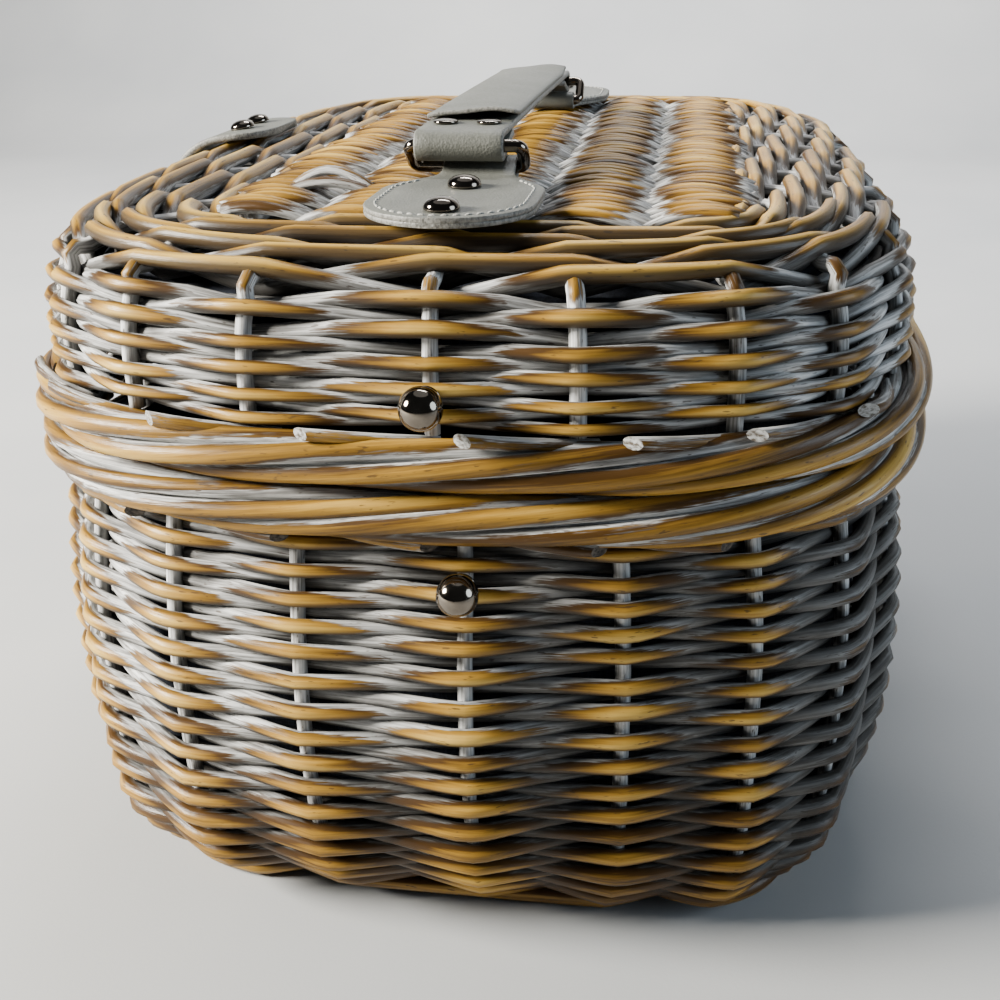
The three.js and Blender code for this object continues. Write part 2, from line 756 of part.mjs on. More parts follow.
const frontCutouts = [
  alongY(frontFace(), HALF_WIDTH * 2),
  alongZ(frontPlan(), 0, LID_TOP + 2 * PANEL_THICK),
];
const frontBlank = common(alongX(frontSide(), FRONT_TOP_HALF_WIDTH + 1), ...frontCutouts);
const buttonOut = new THREE.Vector3(0, -1, -0.03);
const buttonSeat = new THREE.Vector3(
  FRONT_X,
  -HALF_WIDTH - FRONT_THICK - 2 * GAP,
  FRONT_BOTTOM_Z + STRAP_HALF_WIDTH,
);
const frontStrap = frontBlank.translate(FRONT_X, 0, 0);
const buttonHole = rivetHole(BUTTON, buttonSeat, buttonOut);
add("front_strap", cut(frontStrap, [...frontHoles, buttonHole]), GREY_LEATHER);
frontSeats.forEach((seat, i) => add(`front_rivet_${i + 1}`, rivet(DOMED_RIVET, seat, frontSlope), NICKEL));
add("front_button", rivet(BUTTON, buttonSeat, buttonOut), NICKEL);

export default group;
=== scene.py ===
import math

import bpy
import numpy as np
from mathutils import Matrix, Vector


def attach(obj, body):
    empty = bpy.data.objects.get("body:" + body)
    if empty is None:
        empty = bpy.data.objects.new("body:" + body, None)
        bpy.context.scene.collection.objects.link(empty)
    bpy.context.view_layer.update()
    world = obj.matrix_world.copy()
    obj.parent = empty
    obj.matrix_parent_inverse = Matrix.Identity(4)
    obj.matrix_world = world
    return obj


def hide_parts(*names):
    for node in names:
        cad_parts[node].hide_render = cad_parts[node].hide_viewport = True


# Looks of a wicker picnic basket: every willow rod, strap and rivet is built here as geometry.
# Sizes are millimetres in the model's frame: +X the end with the ball studs, -Y the front, +Z up.

SEED = 7

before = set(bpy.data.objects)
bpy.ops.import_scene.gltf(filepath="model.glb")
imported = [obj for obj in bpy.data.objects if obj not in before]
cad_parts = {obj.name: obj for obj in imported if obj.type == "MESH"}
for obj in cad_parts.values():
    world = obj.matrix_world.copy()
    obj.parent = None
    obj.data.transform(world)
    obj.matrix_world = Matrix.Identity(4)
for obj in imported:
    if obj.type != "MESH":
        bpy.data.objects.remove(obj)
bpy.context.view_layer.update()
rng = np.random.default_rng(SEED)

MM = 0.001
GAP = 0.3
UP = np.array([0.0, 0.0, 1.0])

# Camera, fitted to the photograph, in metres and radians

CAMERA_AT = Vector((0.4887, 0.0667, 0.2957))
CAMERA_YAW = 0.143
CAMERA_PITCH = 0.426
CAMERA_ROLL = -0.013
CAMERA_LENS = 43.19
CAMERA_SENSOR = 36.0
CAMERA_SHIFT_X = -0.0149
CAMERA_CLIP = 0.01


def add_camera():
    """The camera looks along -X, a little to the front and down, at the angle of the photograph."""
    level = math.cos(CAMERA_PITCH)
    forward = Vector((-math.cos(CAMERA_YAW) * level, -math.sin(CAMERA_YAW) * level, -math.sin(CAMERA_PITCH)))
    right = Vector((-math.sin(CAMERA_YAW), math.cos(CAMERA_YAW), 0.0))
    above = right.cross(forward)
    turned_right = math.cos(CAMERA_ROLL) * right + math.sin(CAMERA_ROLL) * above
    turned_above = math.cos(CAMERA_ROLL) * above - math.sin(CAMERA_ROLL) * right
    data = bpy.data.cameras.new("photo_camera")
    data.sensor_width = CAMERA_SENSOR
    data.lens = CAMERA_LENS
    data.shift_x = CAMERA_SHIFT_X
    data.clip_start = CAMERA_CLIP
    camera = bpy.data.objects.new("photo_camera", data)
    bpy.context.scene.collection.objects.link(camera)
    axes = Matrix((turned_right, turned_above, -forward)).transposed()
    camera.matrix_world = Matrix.Translation(CAMERA_AT) @ axes.to_4x4()
    bpy.context.scene.camera = camera


add_camera()

# Sizes shared with the model

HALF_LENGTH = 210.0
HALF_WIDTH = 150.0
SIDE_POWER = 4.5
END_POWER = 2.8
BASE_SIDE_POWER = 7.0
BASE_END_POWER = 6.0
BORDER_RADIUS = 7.5
BODY_BORDER_Z = 158.2
LID_BORDER_Z = BODY_BORDER_Z + 2 * BORDER_RADIUS + 2 * GAP
BODY_TOP = BODY_BORDER_Z - BORDER_RADIUS - GAP
BULGE_Z = 75.0
BODY_PROFILE = [  # z, inset
    (0, 36), (10, 26), (26, 13.5), (48, 4.5), (BULGE_Z, 0.5), (105, 1), (132, 4), (BODY_TOP, 7),
]
LID_FOOT = LID_BORDER_Z + BORDER_RADIUS + GAP
LID_PROFILE = [  # z, inset
    (LID_FOOT, 6.5), (200, 7), (212, 9.5), (220, 14), (225.5, 22), (228.3, 33),
]
SHOULDER_POWERS = (5.0, 3.4)
LID_TOP = 229.5
PANEL_HALF_LENGTH = 152.0
PANEL_HALF_WIDTH = 83.0
PANEL_Y = 6.0
PANEL_POWER = 10.0
HUMPS = 5
HUMP_TOP = LID_TOP + 1.5
FRONT_X = -18.0
HINGE_XS = (FRONT_X - 37.0, FRONT_X + 37.0)
HINGE_Y = HALF_WIDTH - BORDER_RADIUS
HINGE_HALF_WIDTH = 10.0
HINGE_RADIUS = BORDER_RADIUS + 2.8

# The tub's near end falls back beside its middle, half way up
BOW = 8.0
BOW_STARTS_Z = (5.0, 45.0)
BOW_ENDS_Z = (105.0, 140.0)
BOW_STARTS_Y = (0.0, 60.0)
BOW_ENDS_Y = (70.0, HALF_WIDTH)

# Vector and mesh helpers

RING_STEPS = 4096
RING_ANGLES = np.linspace(0, 2 * math.pi, RING_STEPS + 1)


def unit(vectors):
    return vectors / np.linalg.norm(vectors, axis=-1, keepdims=True)


def signed_power(values, power):
    return np.sign(values) * np.abs(values) ** power


def jitter(size):
    return rng.uniform(-size, size)


def way_along(points):
    """How far along a path each of its points lies."""
    return np.concatenate([[0], np.cumsum(np.linalg.norm(np.diff(points, axis=0), axis=1))])


def joined(*columns):
    """Points from their coordinates, each of them a row of values or one value for all."""
    return np.column_stack(np.broadcast_arrays(*columns))


def circle(steps):
    return 2 * math.pi * np.arange(steps) / steps


def wheel(steps, first, second):
    """Directions once round, from first towards second."""
    turn = circle(steps)[:, None]
    return np.cos(turn) * np.expand_dims(first, -2) + np.sin(turn) * np.expand_dims(second, -2)


def hermite(x, xs, ys):
    """Smooth interpolation of ys at x."""
    slopes = np.gradient(ys, xs)
    i = int(np.clip(np.searchsorted(xs, x) - 1, 0, len(xs) - 2))
    span = xs[i + 1] - xs[i]
    t = (x - xs[i]) / span
    start = (1 + 2 * t) * (1 - t) ** 2 * ys[i] + t * (1 - t) ** 2 * span * slopes[i]
    end = t * t * (3 - 2 * t) * ys[i + 1] + t * t * (t - 1) * span * slopes[i + 1]
    return start + end


def smooth(low, high, x):
    t = np.clip((x - low) / (high - low), 0, 1)
    return t * t * (3 - 2 * t)


def even_ring(level, shares):
    """Points of a superellipse ring, shares being parts of its length counted from +X towards +Y."""
    half_x, half_y, side, end, z, mid_y = level
    x = half_x * signed_power(np.cos(RING_ANGLES), 2 / side)
    y = mid_y + half_y * signed_power(np.sin(RING_ANGLES), 2 / end)
    way = np.concatenate([[0], np.cumsum(np.hypot(np.diff(x), np.diff(y)))])
    at = np.mod(shares, 1.0) * way[-1]
    return joined(np.interp(at, way, x), np.interp(at, way, y), z)


def new_piece(name, verts, faces, material, values=None):
    """A mesh object from millimetre points. values are extra per-point numbers for the material."""
    mesh = bpy.data.meshes.new(name)
    mesh.from_pydata((np.asarray(verts) * MM).tolist(), [], faces)
    for key, numbers in (values or {}).items():
        numbers = np.asarray(numbers, dtype=np.float32)
        if numbers.ndim == 2:
            mesh.attributes.new(key, "FLOAT_VECTOR", "POINT").data.foreach_set("vector", numbers.ravel())
        else:
            mesh.attributes.new(key, "FLOAT", "POINT").data.foreach_set("value", numbers)
    mesh.polygons.foreach_set("use_smooth", [True] * len(mesh.polygons))
    mesh.update()
    mesh.materials.append(material)
    piece = bpy.data.objects.new(name, mesh)
    bpy.context.scene.collection.objects.link(piece)
    return piece


def finish_piece(piece, body, slot, *nodes):
    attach(piece, body)
    if nodes:
        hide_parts(*nodes)


def loft(sections, closed=False):
    """Points and faces of a skin over a row of loops with equal point counts. An open row is capped."""
    sections = np.asarray(sections)
    rows, count = sections.shape[:2]
    faces = []
    for i in range(rows if closed else rows - 1):
        low = i * count
        high = ((i + 1) % rows) * count
        for j in range(count):
            k = (j + 1) % count
            faces.append((low + j, low + k, high + k, high + j))
    if not closed:
        faces.append(tuple(range(count - 1, -1, -1)))
        faces.append(tuple(range((rows - 1) * count, rows * count)))
    return sections.reshape(-1, 3), faces


# Materials


class Shader:
    """A node material that is put together step by step."""

    def __init__(self, name):
        self.material = bpy.data.materials.new(name)
        self.material.use_nodes = True
        self.tree = self.material.node_tree
        self.surface = self.tree.nodes["Principled BSDF"]

    def set(self, node, inputs):
        for key, value in inputs.items():
            socket = node.inputs[key]
            if isinstance(value, bpy.types.NodeSocket):
                self.tree.links.new(value, socket)
            else:
                socket.default_value = value
        return node

    def add(self, kind, inputs, **settings):
        node = self.tree.nodes.new(kind)
        for key, value in settings.items():
            setattr(node, key, value)
        return self.set(node, inputs)

    def number(self, name):
        return self.add("ShaderNodeAttribute", {}, attribute_name=name).outputs["Fac"]

    def vector(self, name):
        return self.add("ShaderNodeAttribute", {}, attribute_name=name).outputs["Vector"]

    def place(self):
        return self.add("ShaderNodeTexCoord", {}).outputs["Object"]

    def scaled(self, vector, scale):
        node = self.add("ShaderNodeVectorMath", {0: vector, 1: scale}, operation="MULTIPLY")
        return node.outputs["Vector"]

    def noise(self, vector, scale=1.0, detail=3.0, rough=0.55):
        values = {"Vector": vector, "Scale": scale, "Detail": detail, "Roughness": rough}
        return self.add("ShaderNodeTexNoise", values).outputs["Fac"]

    def math(self, operation, a, b):
        return self.add("ShaderNodeMath", {0: a, 1: b}, operation=operation).outputs[0]

    def total(self, values, weights):
        """The sum of the values that weights names, each times its weight."""
        parts = [self.math("MULTIPLY", values[key], weight) for key, weight in weights.items()]
        result = parts[0]
        for part in parts[1:]:
            result = self.math("ADD", result, part)
        return result

    def mixed(self, share, a, b):
        values = {"Factor": share, 6: a, 7: b}
        return self.add("ShaderNodeMix", values, data_type="RGBA").outputs[2]

    def fit(self, value, low, high, to_low=0.0, to_high=1.0):
        values = {"Value": value, "From Min": low, "From Max": high, "To Min": to_low, "To Max": to_high}
        return self.add("ShaderNodeMapRange", values, interpolation_type="SMOOTHSTEP").outputs[0]

    def ramp(self, value, stops):
        node = self.add("ShaderNodeValToRGB", {"Fac": value})
        elements = node.color_ramp.elements
        while len(elements) < len(stops):
            elements.new(0.5)
        for element, (position, color) in zip(elements, stops):
            element.position = position
            element.color = (*color, 1.0)
        return node.outputs["Color"]

    def bump(self, height, strength, distance):
        values = {"Height": height, "Strength": strength, "Distance": distance}
        return self.add("ShaderNodeBump", values).outputs["Normal"]


# Willow: stops are places on a ramp with their colours, ranges are (from, to, to_low, to_high)
BROWN_STOPS = [(0.28, (0.055, 0.026, 0.006)), (0.46, (0.30, 0.16, 0.022)), (0.66, (0.58, 0.375, 0.085))]
LIME_STOPS = [(0.30, (0.04, 0.036, 0.032)), (0.43, (0.25, 0.245, 0.235)), (0.58, (0.70, 0.70, 0.69))]
PALE_END_STOPS = [(0.35, (0.08, 0.065, 0.05)), (0.55, (0.33, 0.33, 0.32)), (0.80, (0.52, 0.52, 0.51))]
# painted shade: the colour of cut ends that face down, a dark copy of the pale cut
SHADED_END_STOPS = [(0.35, (0.012, 0.009, 0.007)), (0.75, (0.12, 0.10, 0.08))]
DIRT = (0.05, 0.028, 0.014, 1.0)
DEEP_SHADE = (0.02, 0.017, 0.014, 1.0)
GRAIN_NOISE = {  # scale along and across a rod, detail, roughness
    "streak": ((0.03, 0.85, 0.85), 5.0, 0.65),
    "patch": ((0.06, 0.22, 0.22), 3.0, 0.55),
    "band": ((0.011, 0.03, 0.03), 2.0, 0.55),
    "fleck": ((0.22, 1.1, 1.1), 2.0, 0.55),
    "fibre": ((0.10, 2.4, 2.4), 3.0, 0.6),
}
RAGGED_PARTS = {"patch": 0.9, "streak": 0.9, "fibre": 0.8}
RAGGED_MEAN = 1.3
BROWN_PARTS = {"streak": 0.45, "band": 0.55, "tone": 0.07}
LIME_PARTS = {"streak": 0.75, "patch": 0.25, "tone": 0.035}
GRAIN_PARTS = {"streak": 1.0, "fibre": 0.6}
GRAIN_BUMP = (0.35, 0.0005)
BARE_WEAR = (0.40, 0.62)  # wear over which the wash gives way to bare willow
# painted shade and highlight: the brown is darker down a rod's sides and in the depths, lighter on its crest
BROWN_CREST_SHADING = (0.5, 1.6, -0.2, 0.1)
# painted shade: the deeper a rod's surface lies under the outside, the more of DEEP_SHADE it takes
DEEP_SHADE_RANGE = (-1.35, 0.25, 0.85, 0.0)
FLECK_RANGE = (0.64, 0.71, 0.0, 0.75)
# painted shade under the rods and in the depths of the weave
PAINTED_SHADE_RANGE = (0.0, 1.0, 0.0, 0.85)
ROUGH_RANGE = (0.0, 1.0, 0.55, 0.34)
EDGE_DIRT = 2.2
WILLOW_SHEEN = 0.25
PALE_CUT = 1.0
# the tub's cut ends: a dark copy of the pale cut, painted shade where they face down
SHADED_CUT = 2.0


def willow_material():
    """Brown willow under a white wash that is worn off where a rod stands out."""
    s = Shader("willow")
    grain = s.vector("grain")
    wear_and_shade = s.number("wear_and_shade")
    cut = s.number("cut")
    values = {"tone": s.number("tone")}
    for key, (scale, detail, rough) in GRAIN_NOISE.items():
        values[key] = s.noise(s.scaled(grain, scale), detail=detail, rough=rough)
    ragged = s.math("SUBTRACT", s.total(values, RAGGED_PARTS), RAGGED_MEAN)
    worn = s.fit(s.math("ADD", wear_and_shade, ragged), *BARE_WEAR)
    # painted shade and highlight across each rod's brown
    brown_value = s.math("ADD", s.total(values, BROWN_PARTS), s.fit(wear_and_shade, *BROWN_CREST_SHADING))
    lime = s.ramp(s.total(values, LIME_PARTS), LIME_STOPS)
    color = s.mixed(worn, lime, s.ramp(brown_value, BROWN_STOPS))
    edge = s.math("MULTIPLY", worn, s.math("SUBTRACT", 1.0, worn))
    color = s.mixed(s.math("MULTIPLY", edge, EDGE_DIRT), color, DIRT)
    color = s.mixed(s.fit(values["fleck"], *FLECK_RANGE), color, DIRT)
    # painted shade in the depths of the weave
    color = s.mixed(s.fit(wear_and_shade, *DEEP_SHADE_RANGE), color, DEEP_SHADE)
    # painted shade under each rod and in the depths of the weave
    color = s.mixed(s.fit(s.number("painted_shade"), *PAINTED_SHADE_RANGE), color, DEEP_SHADE)
    pale_end = s.ramp(values["fleck"], PALE_END_STOPS)
    # the dark cut end is painted shade
    shaded_end = s.ramp(values["fleck"], SHADED_END_STOPS)
    ends = s.mixed(s.fit(cut, PALE_CUT, SHADED_CUT), pale_end, shaded_end)
    color = s.mixed(s.fit(cut, 0.0, PALE_CUT), color, ends)
    normal = s.bump(s.total(values, GRAIN_PARTS), *GRAIN_BUMP)
    s.set(s.surface, {"Base Color": color, "Roughness": s.fit(worn, *ROUGH_RANGE), "Normal": normal})
    s.set(s.surface, {"Specular IOR Level": WILLOW_SHEEN})
    return s.material


# Leather, metal and cloth: noises are scale, detail and roughness, bumps are strength and distance
LEATHER_STOPS = [(0.3, (0.077, 0.079, 0.067)), (0.5, (0.110, 0.112, 0.096)), (0.7, (0.15, 0.152, 0.132))]
RAW_EDGE_STOPS = [(0.35, (0.07, 0.068, 0.06)), (0.65, (0.27, 0.265, 0.24))]
LEATHER_CELLS = 1400.0
LEATHER_PORES = (900.0, 4.0, 0.7)
LEATHER_CLOUDS = (45.0, 4.0)
LEATHER_PARTS = {"clouds": 0.6, "pores": 0.4}
LEATHER_ROUGH = (0.3, 0.7, 0.46, 0.62)
LEATHER_BUMP = (0.3, 0.0003)
# nickel made darker and warm: partly the metal's colour, partly painted reflection of a dark room and the
# brown willow
NICKEL_AND_REFLECTION_STOPS = [(0.3, (0.15, 0.128, 0.105)), (0.7, (0.24, 0.21, 0.175))]
NICKEL_HAZE = (160.0, 4.0)
NICKEL_ROUGH = (0.3, 0.75, 0.06, 0.14)
NAVY_STOPS = [(0.4, (0.006, 0.008, 0.014)), (0.6, (0.022, 0.028, 0.045))]
NAVY_THREADS = {"weft": (300.0, 300.0, 1900.0), "warp": (1500.0, 1500.0, 250.0)}
NAVY_PARTS = {"weft": 0.5, "warp": 0.5}
NAVY_BUMP = (0.3, 0.0004)
NAVY_ROUGH = 0.95


def leather_material():
    s = Shader("grey_leather")
    place = s.place()
    cells = s.add("ShaderNodeTexVoronoi", {"Vector": place, "Scale": LEATHER_CELLS}).outputs["Distance"]
    pores = s.noise(place, *LEATHER_PORES)
    clouds = s.noise(place, *LEATHER_CLOUDS)
    color = s.ramp(s.total({"clouds": clouds, "pores": pores}, LEATHER_PARTS), LEATHER_STOPS)
    color = s.mixed(s.number("edge"), color, s.ramp(pores, RAW_EDGE_STOPS))
    normal = s.bump(s.math("ADD", cells, pores), *LEATHER_BUMP)
    s.set(s.surface, {"Base Color": color, "Roughness": s.fit(pores, *LEATHER_ROUGH), "Normal": normal})
    return s.material


def nickel_material():
    s = Shader("nickel")
    haze = s.noise(s.place(), *NICKEL_HAZE)
    rough = s.fit(haze, *NICKEL_ROUGH)
    s.set(s.surface, {"Base Color": s.ramp(haze, NICKEL_AND_REFLECTION_STOPS), "Roughness": rough, "Metallic": 1.0})
    return s.material


def lining_material():
    s = Shader("navy_cloth")
    place = s.place()
    threads = {key: s.noise(s.scaled(place, scale), detail=2.0) for key, scale in NAVY_THREADS.items()}
    thread = s.total(threads, NAVY_PARTS)
    normal = s.bump(thread, *NAVY_BUMP)
    s.set(s.surface, {"Base Color": s.ramp(thread, NAVY_STOPS), "Roughness": NAVY_ROUGH, "Normal": normal})
    return s.material


def matt_material(name, tint, stops, relief, bump, rough):
    """A matt material. tint and relief are the noises of its colour and of its bump."""
    s = Shader(name)
    color = s.ramp(s.noise(s.place(), *tint), stops)
    normal = s.bump(s.noise(s.place(), *relief), *bump)
    s.set(s.surface, {"Base Color": color, "Roughness": rough, "Normal": normal})
    return s.material


THREAD_STOPS = [(0.35, (0.2, 0.2, 0.18)), (0.65, (0.42, 0.42, 0.39))]
THREAD_TWIST = (2600.0, 2.0)
FLOOR_STOPS = [(0.3, (0.35, 0.355, 0.36)), (0.7, (0.42, 0.42, 0.415))]
FLOOR_CLOUDS = (2.5, 4.0)
FLOOR_WEAVE = (700.0, 2.0)
WILLOW = willow_material()
LEATHER = leather_material()
THREAD = matt_material("thread", THREAD_TWIST, THREAD_STOPS, THREAD_TWIST, bump=(0.4, 0.0002), rough=0.7)
NICKEL = nickel_material()
LINING = lining_material()
FLOOR = matt_material("pale_cloth", FLOOR_CLOUDS, FLOOR_STOPS, FLOOR_WEAVE, bump=(0.1, 0.0004), rough=0.9)

# Willow rods

WORN_DEPTH = -4.4  # a rod's surface nearer the outside than this has lost its wash
WORN_SPAN = 4.0
SHADED_DEPTHS = (-1.0, -6.0)  # painted shade in the depths starts at the first and is full at the second
WASH_AND_HIGHLIGHT_EDGE = 0.4  # how much of the wash a rod keeps along its upper edge, partly as a painted highlight
WASHED_AND_LIT_FACING = (0.45, 1.0)
# painted shade on a rod's underside, over this range of facing away from above
UNDERSIDE_SHADE_FACING = (0.0, 0.85)
CUT_SLANT = 1.25
ROD_SIDES = 8
GRAIN_STARTS = 4000.0  # the grain of a rod starts anywhere in this length
GRAIN_APART = 7.0  # and rods of different tones read other parts of it


class Rods:
    """Willow rods gathered into one piece, with the numbers that their material reads."""

    def __init__(self):
        self.verts = []
        self.faces = []
        self.values = {"grain": [], "wear_and_shade": [], "painted_shade": [], "tone": [], "cut": []}
        self.count = 0

    def keep(self, verts, grain, wear_and_shade, painted_shade, tone, cut):
        """Takes in points with their numbers and gives the index of the first."""
        start = self.count
        total = len(verts)
        self.count += total
        self.verts.append(verts)
        numbers = (grain, wear_and_shade, painted_shade, np.full(total, tone), np.full(total, cut))
        for parts, part in zip(self.values.values(), numbers):
            parts.append(part)
        return start

    def add(self, centre, out, radius, depth, sides=ROD_SIDES, cut=None, above=None, darker=0.0, dirt=0.0):
        """A rod along centre. out faces outwards, depth is how far centre lies under the outside.

        cut is the look of a slanting cut at the start. A rod keeps its wash on the edge that faces
        above, partly as a painted highlight, and has painted shade on the other. darker lowers its
        brown, and the last argument paints shade into its depths.
        """
        rows = len(centre)
        radius = np.broadcast_to(np.asarray(radius, float), rows)
        depth = np.broadcast_to(np.asarray(depth, float), rows)
        dirt = np.broadcast_to(np.asarray(dirt, float), rows)
        along = unit(np.gradient(centre, axis=0))
        out = unit(out - np.sum(out * along, axis=1, keepdims=True) * along)
        side = np.cross(along, out)
        turn = circle(sides)
        across = wheel(sides, out, side)
        verts = centre[:, None] + radius[:, None, None] * across
        if cut is not None:
            verts[0] += CUT_SLANT * radius[0] * (1 + np.cos(turn))[:, None] * along[0]
        begin = rng.uniform(0, GRAIN_STARTS)
        tone = jitter(1.0) - darker
        grain = np.empty((rows, sides, 3))
        grain[:, :, 0] = (way_along(centre) + begin)[:, None]
        grain[:, :, 1] = radius[:, None] * np.sin(turn) + GRAIN_APART * tone
        grain[:, :, 2] = radius[:, None] * np.cos(turn)
        deep = depth[:, None] + radius[:, None] * np.cos(turn)
        # how deep the surface lies: it takes off the wash where a rod stands out, and sets painted shade in
        # the depths
        wear_and_shade = (deep - WORN_DEPTH) / WORN_SPAN + 0.5
        # painted shade in the rod's depths
        painted_shade = dirt[:, None] * smooth(*SHADED_DEPTHS, deep)
        if above is not None:
            facing = np.einsum("ijk,ik->ij", across, above)
            # wash kept on the upper edge, partly a painted highlight
            wear_and_shade -= WASH_AND_HIGHLIGHT_EDGE * smooth(*WASHED_AND_LIT_FACING, facing)
            # painted shade on the underside of the rod
            painted_shade = np.minimum(1, painted_shade + smooth(*UNDERSIDE_SHADE_FACING, -facing))
        skin = (verts.reshape(-1, 3), grain.reshape(-1, 3), wear_and_shade.ravel(), painted_shade.ravel())
        start = self.keep(*skin, tone, 0.0)
        for i in range(rows - 1):
            low = start + i * sides
            for j in range(sides):
                k = (j + 1) % sides
                self.faces.append((low + j, low + k, low + sides + k, low + sides + j))
        first = start
        if cut is not None:
            first = self.keep(verts[0], grain[0], wear_and_shade[0], painted_shade[0], tone, cut)
        last = start + (rows - 1) * sides
        self.faces.append(tuple(range(first, first + sides))[::-1])
        self.faces.append(tuple(range(last, last + sides)))

    def piece(self, name, body, slot, *nodes):
        values = {key: np.concatenate(parts) for key, parts in self.values.items()}
        made = new_piece(name, np.concatenate(self.verts), self.faces, WILLOW, values)
        finish_piece(made, body, slot, *nodes)


class Shell:
    """A woven surface: rings stacked along a profile. u is the way along the profile."""

    def __init__(self, levels, bow=0.0):
        self.levels = np.array(levels, float)
        self.bow = bow
        steps = np.hypot(np.diff(self.levels[:, 0]), np.diff(self.levels[:, 4]))
        self.u = np.concatenate([[0], np.cumsum(steps)])
        self.length = self.u[-1]

    def ring(self, u, shares):
        points = even_ring([hermite(u, self.u, column) for column in self.levels.T], shares)
        x, y, z = points.T
        half_way = smooth(*BOW_STARTS_Z, z) * (1 - smooth(*BOW_ENDS_Z, z))
        beside = smooth(*BOW_STARTS_Y, y) * (1 - smooth(*BOW_ENDS_Y, y)) * smooth(0, HALF_LENGTH, x)
        points[:, 0] = x - self.bow * half_way * beside
        return points

    def spread(self, u, shares):
        """How far apart rows lie round the ring at u, beside their distance at the middle of the ends."""
        reach = 2.0
        climb = self.ring(u + reach, shares) - self.ring(u - reach, shares)
        return np.linalg.norm(climb, axis=1) / (2 * reach)

    def at(self, u, shares):
        """Points of the ring at u, with the directions up the profile and outwards."""
        reach = 0.8
        turn = 0.0008
        up = unit(self.ring(u + reach, shares) - self.ring(u - reach, shares))
        along = unit(self.ring(u, shares + turn) - self.ring(u, shares - turn))
        return self.ring(u, shares), up, unit(np.cross(along, up))


def inset_level(z, inset, side=SIDE_POWER, end=END_POWER):
    return [HALF_LENGTH - inset, HALF_WIDTH - inset, side, end, z, 0.0]


def body_level(z, inset):
    low = max(0.0, 1 - z / BULGE_Z) ** 2
    side = SIDE_POWER + (BASE_SIDE_POWER - SIDE_POWER) * low
    end = END_POWER + (BASE_END_POWER - END_POWER) * low
    return inset_level(z, inset, side, end)


def lid_level(i):
    z, inset = LID_PROFILE[i]
    share = (i / (len(LID_PROFILE) - 1)) ** 3
    side = SIDE_POWER + share * (SHOULDER_POWERS[0] - SIDE_POWER)
    end = END_POWER + share * (SHOULDER_POWERS[1] - END_POWER)
    return inset_level(z, inset, side, end)


PANEL_EDGE = [PANEL_HALF_LENGTH, PANEL_HALF_WIDTH, PANEL_POWER, PANEL_POWER, LID_TOP, PANEL_Y]
TUB = Shell([body_level(z, inset) for z, inset in BODY_PROFILE], BOW)
LID = Shell([lid_level(i) for i in range(len(LID_PROFILE))] + [PANEL_EDGE])

# Stakes: the upright rods. Shares run once round from the far end, so that joins lie there.
# Shifts move the stakes counted from the middle of the near end, the others wander a little.

STAKES = 30
STAKE_RADIUS = 2.3
STAKE_UNEVEN = 0.06
STAKE_WASH = 2.0  # a stake keeps its wash as if it lay this much deeper
STAKE_WANDER = 3.0
STAKE_STEP = 3.5
PERIMETER = 1240.0
NEAR = STAKES // 2
TUB_SHIFTS = {-3: -12.0, -2: -11.4, -1: -9.2, 0: 0.0, 1: 4.1, 2: 3.9, 3: 1.0}
LID_SHIFTS = {-3: -12.0, -2: -13.0, -1: -13.4, 0: -1.0, 1: -1.9, 2: 1.9, 3: -2.0}
TUB_FIRST = 11.0
LID_FIRST = 4.0


def stake_shares(first, shifts):
    shares = []
    for k in range(STAKES):
        shift = shifts.get(k - NEAR, jitter(STAKE_WANDER))
        shares.append(0.5 + k / STAKES + (first + shift) / PERIMETER)
    return np.array(shares + [shares[0] + 1])


TUB_STAKES = stake_shares(TUB_FIRST, TUB_SHIFTS)
LID_STAKES = stake_shares(LID_FIRST, LID_SHIFTS)

# Weavers

STEPS = 12  # points of a weaver between two stakes
RANDING = (1, -1)  # in front of one stake, behind the next
WALING = (1, 1, -1)  # in front of two, behind one
BEHIND = (-1,)  # behind every stake
PRESS = 0.3  # how far a weaver presses into a stake
BEHIND_DROP = 2.0  # how far a weaver sinks behind a stake
BEHIND_DROP_U = 25.0  # where it sinks that far
UNEVEN_THICKNESS = 0.06
UNEVEN_DEPTH = 0.05
UNEVEN_RISE = 0.18
MOST_SPREAD = 1.7
SPREAD_SHARE = 0.5  # how much of the rows' spread the weavers take up
WASHED_SIDE = (85.0, 130.0)  # Y over which the weavers keep more of their wash
SHADED_SIDE = (-70.0, 60.0)  # Y over which painted shade grows in the depths of the weave
NEAR_END = (40.0, 150.0)  # X over which both set in
LOOP_ROOM = (HINGE_HALF_WIDTH + 4, HINGE_HALF_WIDTH + 16)  # how far weavers stay clear of a loop
STAKE_ROOM = HINGE_HALF_WIDTH + 6


def wander(t, size):
    values = rng.normal(0, size, STAKES)
    return np.interp(t, np.arange(STAKES + 1), np.append(values, values[0]))


def weave_depth(radius):
    """(middle, reach) of a weaver's way in and out round the stakes."""
    return -(2 * radius + STAKE_RADIUS - PRESS), radius + STAKE_RADIUS - PRESS


def from_loop(points):
    """How far points along the back are from the middle of the nearer hinge loop."""
    away = np.abs(points[..., 0, None] - np.array(HINGE_XS)).min(axis=-1)
    return np.where(points[..., 1] > 0, away, HALF_LENGTH)


